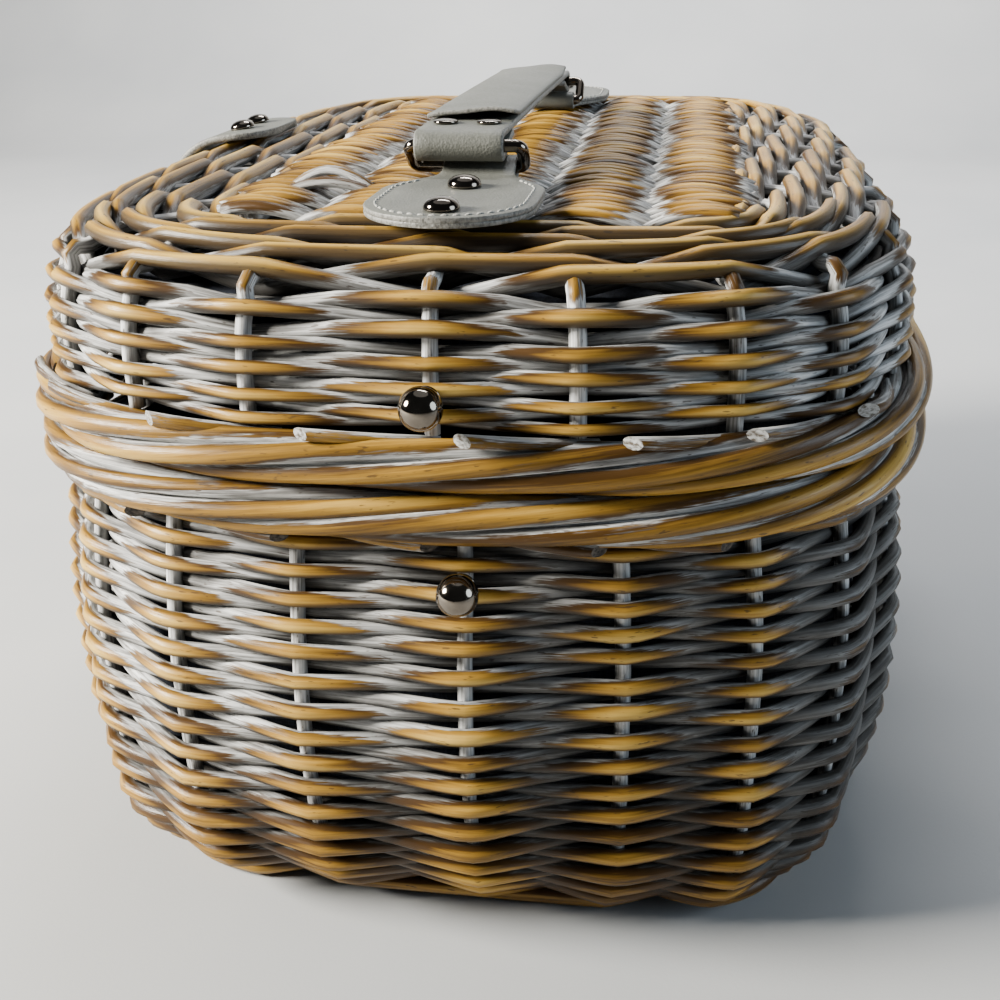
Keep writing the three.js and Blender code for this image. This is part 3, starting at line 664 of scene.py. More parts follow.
def weave_row(rods, shell, stakes, row, look, clear_z=None):
    """One weaver once round, which passes over the hinge loops at clear_z.

    row has u, radius, pattern, the pattern's first place and the rise in front of a stake.
    In look, rubbed takes off wash, and darker and the depth shade are those of a rod. At the near
    end, washed leaves more wash on the +Y side, and the side shade paints shade into the depths there.
    """
    u, radius, pattern, first, lift = row
    t = np.linspace(0, STAKES, STAKES * STEPS + 1)
    shares = np.interp(t, np.arange(STAKES + 1), stakes)
    states = np.array([pattern[(k + first) % len(pattern)] for k in range(STAKES + 1)], float)
    k = np.minimum(t.astype(int), STAKES - 1)
    wave = states[k] + (states[k + 1] - states[k]) * (t - k)
    middle, reach = weave_depth(radius)
    spread = np.clip(shell.spread(u, shares), 1, MOST_SPREAD) ** SPREAD_SHARE
    thickness = radius * (1 + wander(t, UNEVEN_THICKNESS)) * spread
    depth = np.minimum(middle + reach * wave * (1 + wander(t, UNEVEN_DEPTH)), -thickness - PRESS)
    drop = BEHIND_DROP * smooth(0, BEHIND_DROP_U, u)
    rise = wander(t, UNEVEN_RISE * radius) + lift * np.maximum(wave, 0) + drop * np.minimum(wave, 0)
    points, up, out = shell.at(u, shares)
    x, y, z = points.T
    if clear_z is not None:
        window = 1 - smooth(*LOOP_ROOM, from_loop(points))
        rise = rise + window * np.maximum(0, clear_z - z - rise)
    centre = points + out * depth[:, None] + up * rise[:, None]
    near = smooth(*NEAR_END, x)
    kept = look["washed"] * near * smooth(*WASHED_SIDE, y)
    # painted shade in the depths: on the low rows, and towards +Y at the near end
    dirt = look["dirt"] + look["side_shade"] * near * smooth(*SHADED_SIDE, y)
    depth = depth + look["rubbed"] - kept
    rods.add(centre, out, thickness, depth, above=up, darker=look["darker"], dirt=dirt)


def stakes_piece(body, shell, stakes, from_u, to_u, depth_at, loop_u=0.0):
    """The stakes of one shell, behind a hinge loop only past loop_u. depth_at gives their depth at u."""
    rods = Rods()
    shares = stakes[:-1]
    levels = np.linspace(from_u, to_u, int((to_u - from_u) / STAKE_STEP))
    layers = [shell.at(u, shares) for u in levels]
    depth = np.array([depth_at(u) for u in levels])
    for k in range(len(shares)):
        points = np.array([layer[0][k] for layer in layers])
        out = np.array([layer[2][k] for layer in layers])
        keep = np.ones(len(levels), bool)
        if from_loop(points[0]) < STAKE_ROOM:
            keep = levels > loop_u
        radius = STAKE_RADIUS * (1 + jitter(STAKE_UNEVEN))
        centre = points + out * depth[:, None]
        rods.add(centre[keep], out[keep], radius, depth[keep] - STAKE_WASH)
    rods.piece(body + "_stakes", body, "limed_willow")


# Tub wall: heavier rows at the foot, finer ones at the top. The low rows are rubbed, and painted shade
# darkens them.

FOOT_TOP_U = 34.0
FOOT_PITCH = 5.6
TOP_PITCH = 4.2
FIRST_ROW_U = 2.6
TOP_MARGIN = 1.5
FOOT_WALES = 2  # how many rows at the foot go in front of two stakes
ROD_SHARE = 0.54  # radius of a weaver as a share of the pitch
LOW_ROWS = (FOOT_TOP_U, 110.0)  # u over which the look of the low rows ends
LOW_RUBBED = 2.3
# painted shade: darker brown on the low rows, and darkened depths on the low rows and on the +Y side
LOW_DARKER = 3.2
LOW_DEPTH_SHADE = 1.0
TUB_SIDE_SHADE = 0.9
TUB_WASHED = 3.6


def tub_pitch(u):
    return FOOT_PITCH + (TOP_PITCH - FOOT_PITCH) * u / TUB.length


def tub_stake_depth(u):
    return weave_depth(ROD_SHARE * tub_pitch(u))[0]


def weave_tub(foot, wall):
    u = FIRST_ROW_U
    index = 0
    while u < TUB.length - TOP_MARGIN:
        pitch = tub_pitch(u)
        low = 1 - smooth(*LOW_ROWS, u)
        look = {
            "rubbed": LOW_RUBBED * low, "darker": LOW_DARKER * low, "dirt": LOW_DEPTH_SHADE * low,
            "washed": TUB_WASHED, "side_shade": TUB_SIDE_SHADE,
        }
        pattern = WALING if index < FOOT_WALES else RANDING
        rods = foot if u < FOOT_TOP_U else wall
        weave_row(rods, TUB, TUB_STAKES, (u, ROD_SHARE * pitch, pattern, index, 0.0), look)
        u += pitch
        index += 1


tub_foot = Rods()
tub_wall = Rods()
weave_tub(tub_foot, tub_wall)
tub_foot.piece("tub_foot_weave", "tub", "willow", "body_foot")
tub_wall.piece("tub_wall_weave", "tub", "willow", "body_wall")
stakes_piece("tub", TUB, TUB_STAKES, from_u=3.0, to_u=TUB.length + 2.0, depth_at=tub_stake_depth)

# Lid wall, shoulder and the flat ring up to the panel

LID_ROWS = [  # u, radius, pattern, rise in front of a stake
    (1.9, 1.9, RANDING, 0.0), (5.0, 1.9, RANDING, 0.0), (8.2, 1.95, RANDING, 0.0),
    (11.9, 2.0, RANDING, 0.0), (15.5, 2.05, RANDING, 0.0), (19.2, 2.1, RANDING, 0.0),
    (22.9, 2.15, RANDING, 0.0), (27.6, 2.25, RANDING, 0.0), (32.4, 2.3, RANDING, 0.0),
    (36.8, 2.3, RANDING, -0.6), (41.3, 2.2, BEHIND, 0.0), (45.6, 2.5, WALING, 1.0),
    (50.4, 2.55, WALING, 0.8), (55.3, 2.55, WALING, 0.4), (60.2, 2.6, WALING, 0.0),
    (65.2, 2.6, WALING, 0.0), (70.3, 2.6, WALING, 0.0), (75.4, 2.6, WALING, 0.0),
    (80.5, 2.6, WALING, 0.0), (85.6, 2.5, WALING, 0.0), (89.6, 2.1, RANDING, 0.0),
]
FLAT_ROWS = (48.0, 62.0)  # u over which the flat top begins
TOP_DARKER = 0.9  # the brown is deeper on the flat top
LID_WASHED = 2.0
LID_STAKE_DEPTH = -6.2
KNOB_U = 41.3  # where a stake bends over the shoulder
KNOB_SPAN = 3.6
KNOB_RISE = 3.4
LOOP_CLEAR_Z = LID_BORDER_Z + HINGE_RADIUS + 3.8


def lid_stake_depth(u):
    return LID_STAKE_DEPTH + KNOB_RISE * math.exp(-((u - KNOB_U) / KNOB_SPAN) ** 2)


lid_weave = Rods()
for index, (u, radius, pattern, lift) in enumerate(LID_ROWS):
    darker = TOP_DARKER * smooth(*FLAT_ROWS, u)
    look = {"rubbed": 0.0, "darker": darker, "dirt": 0.0, "washed": LID_WASHED, "side_shade": 0.0}
    weave_row(lid_weave, LID, LID_STAKES, (u, radius, pattern, index, lift), look, LOOP_CLEAR_Z)
lid_weave.piece("lid_weave", "lid", "willow", "lid_wall")
lid_end_u = LID.length - 2.0
stakes_piece("lid", LID, LID_STAKES, from_u=-1.0, to_u=lid_end_u, depth_at=lid_stake_depth, loop_u=8.0)

# Borders: strands laid round each other like a rope, with the cut ends of the stakes beside them

STRANDS = 5
STRAND_RADIUS = 2.75
STRAND_DEPTH = -6.4
STRAND_RUBBED = 2.0
STRAND_BARE = 0.6  # how far round the outside a strand is rubbed
STRAND_TILT = 0.3  # and how much more of it on the side of the cut ends
STRAND_DARKER = 0.6
STRAND_SWAY = (0.12, 5)  # size and waves round the border
STRAND_SWELL = (0.07, 3)
STRAND_WASH = (1.0, 6)
LAY_TURNS = 4
BORDER_STEPS = 360
CORE_RADIUS = 3.4
CORE_DEPTH = -10.0
STUB_RADIUS = 1.9
STUB_UNEVEN = 0.1
STUB_DEPTH = -5.4
STUB_SIDES = 12
STUB_SHIFT = 8.0
STUB_WANDER = 4.0
STUB_WAY = np.array([0.0, 9.0, 15.0, 21.0, 27.0, 33.0, 39.0])  # way from the cut end
STUBS = {  # look of the cut, the tub's being a dark copy that is painted shade, and per step of the way: out and up from the border's middle
    "lid": (PALE_CUT, [4.6, 3.6, 2.0, 0.2, -1.6, -3.2, -4.6], [8.6, 8.0, 7.2, 6.4, 5.6, 5.0, 4.4]),
    "tub": (SHADED_CUT, [2.0, 1.7, 1.1, 0.2, -0.9, -2.2, -3.8], [-7.8, -7.5, -7.1, -6.7, -6.2, -5.6, -5.0]),
}
TUB_STUB_SHIFTS = {-2: -6.0, -1: 0.0, 0: -6.5, 1: -4.5}
LID_STUB_SHIFTS = {-2: 11.6, -1: 17.0, 0: 7.5, 1: 12.0, 2: 0.0, 3: 0.0}
BORDERS = [  # body, node, height, side of the cut ends, stakes, shifts of their ends
    ("tub", "body_border", BODY_BORDER_Z, -1, TUB_STAKES, TUB_STUB_SHIFTS),
    ("lid", "lid_border", LID_BORDER_Z, 1, LID_STAKES, LID_STUB_SHIFTS),
]


def border_frame(z, shares):
    level = inset_level(z, BORDER_RADIUS)
    turn = 0.0015
    along = unit(even_ring(level, shares + turn) - even_ring(level, shares - turn))
    return even_ring(level, shares), np.cross(along, UP)


def waves(way, size, count):
    return size * np.sin(2 * math.pi * (count * way + rng.uniform()))


def add_border(rods, z, upper):
    """upper is 1 for the border on the lid, whose cut ends lie on top, and -1 for the tub's."""
    way = np.linspace(0, 1, BORDER_STEPS + 1)
    points, out = border_frame(z, 0.5 + way)
    for i in range(STRANDS):
        angle = 2 * math.pi * (i / STRANDS + LAY_TURNS * way) + waves(way, *STRAND_SWAY)
        radial = np.cos(angle)[:, None] * out + np.sin(angle)[:, None] * UP
        thickness = STRAND_RADIUS * (1 + waves(way, *STRAND_SWELL))
        outer = np.clip(STRAND_BARE + np.cos(angle) + STRAND_TILT * upper * np.sin(angle), 0, 1)
        depth = STRAND_DEPTH + STRAND_RUBBED * outer + waves(way, *STRAND_WASH)
        centre = points + (BORDER_RADIUS - thickness)[:, None] * radial
        rods.add(centre, radial, thickness, depth, darker=STRAND_DARKER)
    rods.add(points, out, CORE_RADIUS, CORE_DEPTH)


def add_stubs(rods, z, body, upper, stakes, shifts):
    """The cut ends of the stakes, which lie against the border, but not along the hinged back."""
    look, away, above = STUBS[body]
    for k in range(STAKES):
        shift = shifts.get(k - NEAR, STUB_SHIFT * upper + jitter(STUB_WANDER))
        start = stakes[k] + shift / PERIMETER
        points, out = border_frame(z, start + upper * STUB_WAY / PERIMETER)
        if points[:, 1].max() > HALF_WIDTH - 2 * BORDER_RADIUS:
            continue
        centre = points + np.array(away)[:, None] * out + np.array(above)[:, None] * UP
        radius = STUB_RADIUS * (1 + jitter(STUB_UNEVEN))
        rods.add(centre, out, radius, STUB_DEPTH, STUB_SIDES, look)


for body, node, z, upper, stakes, shifts in BORDERS:
    strands = Rods()
    add_border(strands, z, upper)
    strands.piece(body + "_border_strands", body, "willow", node)
    ends = Rods()
    add_stubs(ends, z, body, upper, stakes, shifts)
    ends.piece(body + "_border_ends", body, "limed_willow")

# Panels: rods across, over and under ribs that run along the length

LID_PANEL = {
    "half_x": PANEL_HALF_LENGTH, "half_y": PANEL_HALF_WIDTH, "power": PANEL_POWER, "mid_y": PANEL_Y,
    "top": HUMP_TOP, "humps": HUMPS, "pitch": 2.9, "radius": 1.95, "thin": 1.4, "rise": 4.0, "darker": 0.6,
}
BASE_PANEL = {
    "half_x": 164.0, "half_y": 104.0, "power": 6.5, "mid_y": 0.0,
    "top": 10.0, "humps": 8, "pitch": 4.6, "radius": 2.3, "thin": 2.1, "rise": 2.4, "darker": 0.0,
}
HUMP_POWER = 0.8
HUMP_STEPS = 10
LEAST_STEPS = 6
PANEL_WANDER = 0.12  # of the pitch
PANEL_DRIFT = 0.07  # of a hump's width
PANEL_LEAN = 0.2  # of the pitch
PANEL_UNEVEN = 0.08
PANEL_WASH = 0.6
PANEL_DEPTH = -1.1
PANEL_STEEP = 1.2  # how fast the wash comes back down the side of a hump
RIB_RADIUS = 2.0
RIB_STEPS = 12
RIB_MARGIN = 8.0
RIB_DEPTH = -8.0
LOOSE_RODS = [  # x, first y, last y, height of the arch, radius
    (108.0, -61.0, -31.0, 7.5, 1.5),
    (113.0, -62.0, -29.0, 4.6, 1.7),
]
LOOSE_STEPS = 14
LOOSE_FOOT = HUMP_TOP - 4.5
LOOSE_DEPTH = -5.6


def add_panel(rods, size):
    """A close-woven panel. Its rods rise over every other rib and are thin where they cross."""
    half_x, half_y, power, mid_y, top, humps, pitch, radius, thin, rise, darker = size.values()
    column = 2 * half_y / humps
    count = int(2 * (half_x - 1.5 * radius) / pitch)
    middle = top - rise - radius
    for i in range(count + 1):
        x = (i - count / 2) * pitch + jitter(PANEL_WANDER) * pitch
        reach = half_y * (1 - abs(x / half_x) ** power) ** (1 / power)
        steps = max(LEAST_STEPS, int(2 * reach / column * HUMP_STEPS))
        y = np.linspace(-reach, reach, steps + 1)
        drift = jitter(PANEL_DRIFT) * column
        wave = np.sin(math.pi * (y + drift + half_y) / column) * (1 if i % 2 else -1)
        wave = signed_power(wave, HUMP_POWER)
        lean = PANEL_LEAN * pitch * np.sin(2 * math.pi * y / column + jitter(0.5))
        thickness = (thin + (radius - thin) * np.abs(wave)) * (1 + jitter(PANEL_UNEVEN))
        z = middle + rise * wave
        depth = PANEL_STEEP * (z - top) + PANEL_DEPTH + jitter(PANEL_WASH)
        rods.add(joined(x + lean, mid_y + y, z), UP, thickness, depth, darker=darker)
    for j in range(humps):
        y = mid_y - half_y + (j + 0.5) * column
        x = np.linspace(RIB_MARGIN - half_x, half_x - RIB_MARGIN, RIB_STEPS)
        rods.add(joined(x, y, middle), UP, RIB_RADIUS, RIB_DEPTH)


panel = Rods()
add_panel(panel, LID_PANEL)
for x, first_y, last_y, height, radius in LOOSE_RODS:
    share = np.linspace(0, 1, LOOSE_STEPS)
    arch = LOOSE_FOOT + height * np.sin(math.pi * share) ** HUMP_POWER
    panel.add(joined(x, first_y + (last_y - first_y) * share, arch), UP, radius, LOOSE_DEPTH)
panel.piece("lid_panel_weave", "lid", "willow", "lid_panel")
base = Rods()
add_panel(base, BASE_PANEL)
base.piece("base_weave", "tub", "limed_willow", "base_panel")

# Lining: plain dark cloth close inside the weave

LINING_THICK = 0.8
LINING_STEPS = 144
LINING_ROWS = 16
LINING_MARGIN = 1.0
TUB_LINING = (14.0, -16.6)  # first u, and depth under the outside
LID_LINING = (9.0, -14.6)
CROWN_SHARES = (0.9, 0.7, 0.45, 0.2, 0.002)  # rows under the panel, as shares of its edge


def lining_piece(name, body, rows):
    """A thin cloth through rows of points, each row once round."""
    rows = np.array(rows)
    inward = np.cross(np.gradient(rows, axis=0), np.gradient(rows, axis=1))
    inner = rows + LINING_THICK * unit(inward)
    verts, faces = loft(np.concatenate([rows, inner[::-1]]), closed=True)
    piece = new_piece(name, verts, faces, LINING)
    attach(piece, body)


def lining_rows(shell, first_u, depth):
    shares = np.arange(LINING_STEPS) / LINING_STEPS
    rows = []
    for u in np.linspace(first_u, shell.length - LINING_MARGIN, LINING_ROWS):
        points, _, out = shell.at(u, shares)
        rows.append(points + depth * out)
    return rows


lining_piece("tub_lining", "tub", lining_rows(TUB, *TUB_LINING))
lid_rows = lining_rows(LID, *LID_LINING)
rim = lid_rows[-1]
middle = np.array([0.0, PANEL_Y, 0.0])
crown = rim * (1 - UP) - middle
for share in CROWN_SHARES:
    lid_rows.append(middle + share * crown + rim * UP)
lining_piece("lid_lining", "lid", lid_rows)

# Leather

LEATHER_THICK = 2.4
THIN_LEATHER = 1.4  # tabs and grip
WIRE = 2.0
FOLD = WIRE + GAP + LEATHER_THICK / 2  # radius of the middle of the strap folded round the wire
LOOP = WIRE + GAP + LEATHER_THICK
TAB_FOLD = WIRE + GAP + THIN_LEATHER / 2
TAB_LOOP = WIRE + GAP + THIN_LEATHER
HANDLE_X = 9.0
RING_Y = -1.75
RING_HALF_WIDTH = 17.75
STRAP_Y = -3.2
STRAP_HALF_WIDTH = 14.0
STRAP_RISE = 0.4
STRAP_STEPS = 40
TAIL_GAP = 0.1
TAIL_PULLS = (5.0, 6.0)  # how far the curve from the tail down to the fold is pulled at its ends
TAB_Y = 2.2
TAB_Z = HUMP_TOP + GAP
TAB_TOP = TAB_Z + 2 * THIN_LEATHER
TAB_HALF_WIDTH = 24.2
NECK_HALF_WIDTH = 11.5
TAB_END_U = 173.0
TAB_ROUND_U = TAB_END_U - TAB_HALF_WIDTH
TAB_TIP_TURN = 0.497 * math.pi  # just short of the tip, where a tab has no width
LOWER_BAR = np.array([95.0, TAB_Z + TAB_LOOP])
UPPER_BAR = np.array([103.0, TAB_Z + TAB_LOOP + 7.5])
NECK_END_U = LOWER_BAR[0] + 6
TAB_FLAT_U = LOWER_BAR[0] + 13
TAB_PULLS = (3.5, 5.0)  # how far the curve from the fold down to the flat tab is pulled at its ends
TAB_TIP_STEPS = 16
TAB_STEPS = 14
NECK_STEPS = 6
STITCH_FROM_U = LOWER_BAR[0] + 20
TAB_WIDEST_U = LOWER_BAR[0] + 35
GRIP_HALF_LENGTH = 82.0
GRIP_SAGITTA = 1.4
GRIP_OVERHANG = 0.5
GRIP_STEPS = 15
GRIP_PLACES = np.concatenate([[-1, -0.985], np.linspace(-0.96, 0.96, 30), [0.985, 1]])
GRIP_SOFTNESS = 0.4
LIP_FROM = 0.84  # share of the grip's length where its lips start to lift
LIP_LIFT = (0.3, 1.5)  # everywhere, and on top of that at one side
LIP_SIDE = (-0.3, 0.7)
FRONT_THICK = 2.8
FRONT_TOP_HALF_WIDTH = 27.0
FRONT_CORNER = 16.0
FRONT_FLARE_Z = (196.0, 226.0)
FRONT_STEPS = 70
HINGE_THICK = 2.0
HINGE_STEPS = 16
TIP_HALF_WIDTH = 0.6
ACROSS_STEPS = 6
EDGE_STEPS = 5
EDGE_SOFTNESS = 0.6
ACROSS_X = np.array([1.0, 0.0, 0.0])
ACROSS_Y = np.array([0.0, 1.0, 0.0])
ENDS = [("near", 1), ("far", -1)]


def arc(centre, radius, start, end, steps=14):
    angle = np.linspace(start, end, steps)
    return joined(centre[0] + radius * np.cos(angle), centre[1] + radius * np.sin(angle))


def bezier(a, b, c, d, steps=12):
    t = np.linspace(0, 1, steps)[:, None]
    a, b, c, d = (np.array(point, float) for point in (a, b, c, d))
    return (1 - t) ** 3 * a + 3 * t * (1 - t) ** 2 * b + 3 * t * t * (1 - t) * c + t ** 3 * d


def without_doubles(path):
    step = np.linalg.norm(np.diff(path, axis=0), axis=1)
    return path[np.concatenate([[True], step > 1e-3])]


def strap_sections(points, normals, across, half_widths, thickness):
    """Rounded cross-sections of a strap, and how far each point belongs to its cut edge."""
    sections = []
    edges = []
    half = thickness / 2
    round_edge = np.linspace(math.pi / 2, -math.pi / 2, EDGE_STEPS + 2)[1:-1]
    for point, normal, width in zip(points, normals, half_widths):
        soft = min(EDGE_SOFTNESS * half, width / 2)
        flat = np.linspace(-1, 1, ACROSS_STEPS + 1) * (width - soft)
        top = [(a, half, 0.0) for a in flat]
        right = [(width - soft + soft * math.cos(e), half * math.sin(e), 1.0) for e in round_edge]
        under = [(a, -half, 0.0) for a in flat[::-1]]
        left = [(-a, -h, e) for a, h, e in right]
        loop = top + right + under + left
        sections.append([point + a * across + h * normal for a, h, _ in loop])
        edges.append([e for _, _, e in loop])
    return np.array(sections), np.array(edges)


def strap_piece(name, body, points, across, half_widths, thickness, closed=False):
    """A strap along points that lie in one plane, across being its width's direction."""
    if closed:
        ahead = np.roll(points, -1, axis=0) - np.roll(points, 1, axis=0)
    else:
        ahead = np.gradient(points, axis=0)
    normals = unit(np.cross(across, unit(ahead)))
    half_widths = np.broadcast_to(half_widths, len(points))
    sections, edges = strap_sections(points, normals, across, half_widths, thickness)
    verts, faces = loft(sections, closed)
    piece = new_piece(name, verts, faces, LEATHER, {"edge": edges.ravel()})
    finish_piece(piece, body, "grey_leather", name)


def along_handle(path, turn, y):
    """Points in space of a path drawn from the middle of the handle outwards."""
    return joined(HANDLE_X + turn * path[:, 0], y, path[:, 1])


def at_x(path, x):
    """Points in space of a path drawn in Y and Z."""
    return joined(x, path[:, 0], path[:, 1])


def tab_half_width(u):
    """Pear shape of a handle tab: a narrow neck, then a round end."""
    swell = NECK_HALF_WIDTH + (TAB_HALF_WIDTH - NECK_HALF_WIDTH) * smooth(NECK_END_U, TAB_WIDEST_U, u)
    tip = np.clip((u - TAB_ROUND_U) / TAB_HALF_WIDTH, 0, 1)
    return np.where(u > TAB_ROUND_U, TAB_HALF_WIDTH * np.sqrt(np.maximum(0, 1 - tip * tip)), swell)


def tab_path():
    """In under the tab, round the ring's lower bar and out again on top."""
    low = TAB_Z + THIN_LEATHER / 2
    high = TAB_TOP - THIN_LEATHER / 2
    tip = TAB_ROUND_U + TAB_HALF_WIDTH * np.sin(np.linspace(0, TAB_TIP_TURN, TAB_TIP_STEPS))
    outwards = np.concatenate([np.linspace(TAB_FLAT_U, tip[0], TAB_STEPS), tip[1:]])
    neck = np.linspace(LOWER_BAR[0], outwards[0], NECK_STEPS)[:-1]
    under = joined(np.concatenate([neck, outwards])[::-1], low)
    fold = arc(LOWER_BAR, TAB_FOLD, -math.pi / 2, -1.5 * math.pi)
    u, z = LOWER_BAR[0], LOWER_BAR[1] + TAB_FOLD
    drop = bezier((u, z), (u + TAB_PULLS[0], z), (u + TAB_PULLS[1], high), (outwards[0], high))
    return without_doubles(np.concatenate([under, fold, drop, joined(outwards, high)]))


def strap_top(u):
    return UPPER_BAR[1] + LOOP + STRAP_RISE * (1 - (u / UPPER_BAR[0]) ** 2)


def handle_strap_path():
    """From one tail under the strap round both rings' upper bars to the other tail."""
    tail_u = GRIP_HALF_LENGTH
    tail = (tail_u, strap_top(tail_u) - 1.5 * LEATHER_THICK - TAIL_GAP)
    under = (UPPER_BAR[0], UPPER_BAR[1] - FOLD)
    near = bezier(tail, (tail_u + TAIL_PULLS[0], tail[1]), (under[0] - TAIL_PULLS[1], under[1]), under)
    near = np.concatenate([near, arc(UPPER_BAR, FOLD, -math.pi / 2, math.pi / 2)])
    u = np.linspace(UPPER_BAR[0], -UPPER_BAR[0], STRAP_STEPS)
    run = joined(u, strap_top(u) - LEATHER_THICK / 2)
    far = near[::-1] * np.array([-1, 1])
    return without_doubles(np.concatenate([near, run, far]))


tab = tab_path()
tab_u = tab[:, 0]
tab_widths = np.where(tab_u < NECK_END_U, NECK_HALF_WIDTH, tab_half_width(tab_u))
tab_widths = np.maximum(tab_widths, TIP_HALF_WIDTH)
for end, turn in ENDS:
    points = along_handle(tab, turn, TAB_Y)
    strap_piece("handle_tab_" + end, "lid", points, ACROSS_Y, tab_widths, THIN_LEATHER)
strap_points = along_handle(handle_strap_path(), 1, STRAP_Y)
strap_piece("handle_strap", "lid", strap_points, ACROSS_Y, STRAP_HALF_WIDTH, LEATHER_THICK)


def add_grip():
    """The arched cover on the strap, open at both ends, its lips lifted a little on one side."""
    half_span = STRAP_HALF_WIDTH + GRIP_OVERHANG
    share = np.linspace(-1, 1, GRIP_STEPS)
    rise = GRIP_SAGITTA * (1 - share * share)
    lifted = LIP_LIFT[0] + LIP_LIFT[1] * smooth(*LIP_SIDE, share)
    sections = []
    edges = []
    for part in GRIP_PLACES:
        u = part * GRIP_HALF_LENGTH
        under = strap_top(u) + GAP + rise + smooth(LIP_FROM, 1.0, abs(part)) * lifted
        low = joined(HANDLE_X + u, STRAP_Y + share * half_span, under)
        sections.append(np.concatenate([low + THIN_LEATHER * UP, low[::-1]]))
        edges.append(np.full(2 * GRIP_STEPS, 1.0 if abs(part) == 1 else 0.0))
    verts, faces = loft(np.array(sections)[::-1])
    piece = new_piece("handle_grip", verts, faces, LEATHER, {"edge": np.array(edges).ravel()})
    soft = piece.modifiers.new("soft_edges", "BEVEL")
    soft.width = GRIP_SOFTNESS * MM
    soft.segments = 2
    soft.limit_method = "ANGLE"
    finish_piece(piece, "lid", "grey_leather", "handle_grip")


add_grip()

FRONT_PATH = [  # y, z of the middle of the front strap, from the lid down to the tub
    (-101, 231.2), (-109.5, 230.7), (-118.2, 230.0), (-129.2, 227.2), (-137.2, 221.7), (-143.6, 212.0),
    (-149.8, 192.0), (-152.0, 176.8), (-152.0, 166.0), (-152.0, 155.2), (-151.2, 140.0), (-150.8, 122.0),
]


def front_path():
    """A smooth path with more points towards its ends."""
    rough = np.array(FRONT_PATH, float)
    way = way_along(rough)
    steps = way[-1] * (0.5 - 0.5 * np.cos(math.pi * np.linspace(0, 1, FRONT_STEPS)))
    return np.array([[hermite(w, way, rough[:, 0]), hermite(w, way, rough[:, 1])] for w in steps])


def front_half_width(path):
    """A broad round top, then the width of the strap with a round tip."""
    narrow = STRAP_HALF_WIDTH
    width = narrow + (FRONT_TOP_HALF_WIDTH - narrow) * smooth(*FRONT_FLARE_Z, path[:, 1])
    from_top = np.clip((FRONT_PATH[0][0] - path[:, 0]) / FRONT_CORNER, 0, 1)
    width = width - FRONT_CORNER * (1 - np.sqrt(1 - (1 - from_top) ** 2))
    from_tip = np.clip((path[:, 1] - FRONT_PATH[-1][1]) / narrow, 0, 1)
    return np.maximum(width * np.sqrt(1 - (1 - from_tip) ** 2), TIP_HALF_WIDTH)


front = front_path()
strap_piece("front_strap", "lid", at_x(front, FRONT_X), ACROSS_X, front_half_width(front), FRONT_THICK)
stadium = np.concatenate([
    arc((HINGE_Y, BODY_BORDER_Z), HINGE_RADIUS, math.pi, 2 * math.pi, HINGE_STEPS),
    arc((HINGE_Y, LID_BORDER_Z), HINGE_RADIUS, 0, math.pi, HINGE_STEPS),
])
for side, x in zip(("left", "right"), HINGE_XS):
    points = at_x(stadium, x)
    strap_piece("hinge_loop_" + side, "tub", points, ACROSS_X, HINGE_HALF_WIDTH, HINGE_THICK, closed=True)

# Stitches along the edges of the tabs

STITCH_INSET = 3.2
STITCH_PITCH = 3.2
STITCH_LENGTH = 2.3
STITCH_RADIUS = 0.36
STITCH_SIDES = 6
STITCH_LINE_STEPS = 16
STITCH_BEND_STEPS = 24
STITCH_PLACES = np.array([0.0, 0.12, 0.5, 0.88, 1.0])
STITCH_SWELL = STITCH_RADIUS * np.array([0.35, 0.85, 1.0, 0.85, 0.35])
STITCH_SINK = STITCH_RADIUS * np.array([-0.5, 0.1, 0.45, 0.1, -0.5])


def tab_stitch_line(turn):
    """The stitch line inside a tab's edge: out along one side, round the tip and back."""
    inside = TAB_HALF_WIDTH - STITCH_INSET
    straight = np.linspace(STITCH_FROM_U, TAB_ROUND_U, STITCH_LINE_STEPS)
    bend = np.linspace(0, math.pi / 2, STITCH_BEND_STEPS)[1:]
    u = np.concatenate([straight, TAB_ROUND_U + inside * np.sin(bend)])
    width = np.concatenate([tab_half_width(straight) - STITCH_INSET, inside * np.cos(bend)])
    x = HANDLE_X + turn * u
    there = joined(x, TAB_Y + width, TAB_TOP)
    back = joined(x, TAB_Y - width, TAB_TOP)[::-1]
    return without_doubles(np.concatenate([there, back]))


def stitches_piece(name, path):
    """Short rounded stitches along a path."""
    way = way_along(path)
    verts = []
    faces = []
    for start in np.arange(1.0, way[-1] - STITCH_LENGTH, STITCH_PITCH):
        at = start + STITCH_LENGTH * STITCH_PLACES
        centre = joined(*(np.interp(at, way, column) for column in path.T))
        loop = wheel(STITCH_SIDES, UP, np.cross(unit(centre[-1] - centre[0]), UP))
        middle = centre + STITCH_SINK[:, None] * UP
        points, quads = loft(middle[:, None] + STITCH_SWELL[:, None, None] * loop)
        begin = len(verts) * len(points)
        verts.append(points)
        faces.extend(tuple(begin + i for i in quad) for quad in quads)
    finish_piece(new_piece(name, np.concatenate(verts), faces, THREAD), "lid", "grey_leather")


for end, turn in ENDS:
    stitches_piece("tab_stitches_" + end, tab_stitch_line(turn))

# Metal

LATHE_STEPS = 40
POINT = 0.01  # radius of a closed tip
ASKEW = (0.3, 0.9, 0.2)  # a direction that no axis has
RING_CORNER = 2.5
RING_CORNER_STEPS = 8
RING_SIDES = 14


def lathe_piece(name, body, profile, seat, out):
    """A turned piece: radius and height pairs round a seat point, out being its axis."""
    axis = unit(np.array(out, float))
    first = unit(np.cross(axis, ASKEW))
    round_axis = wheel(LATHE_STEPS, first, np.cross(axis, first))
    sections = [seat + height * axis + max(radius, POINT) * round_axis for radius, height in profile]
    verts, faces = loft(sections)
    finish_piece(new_piece(name, verts, faces, NICKEL), body, "nickel", name)


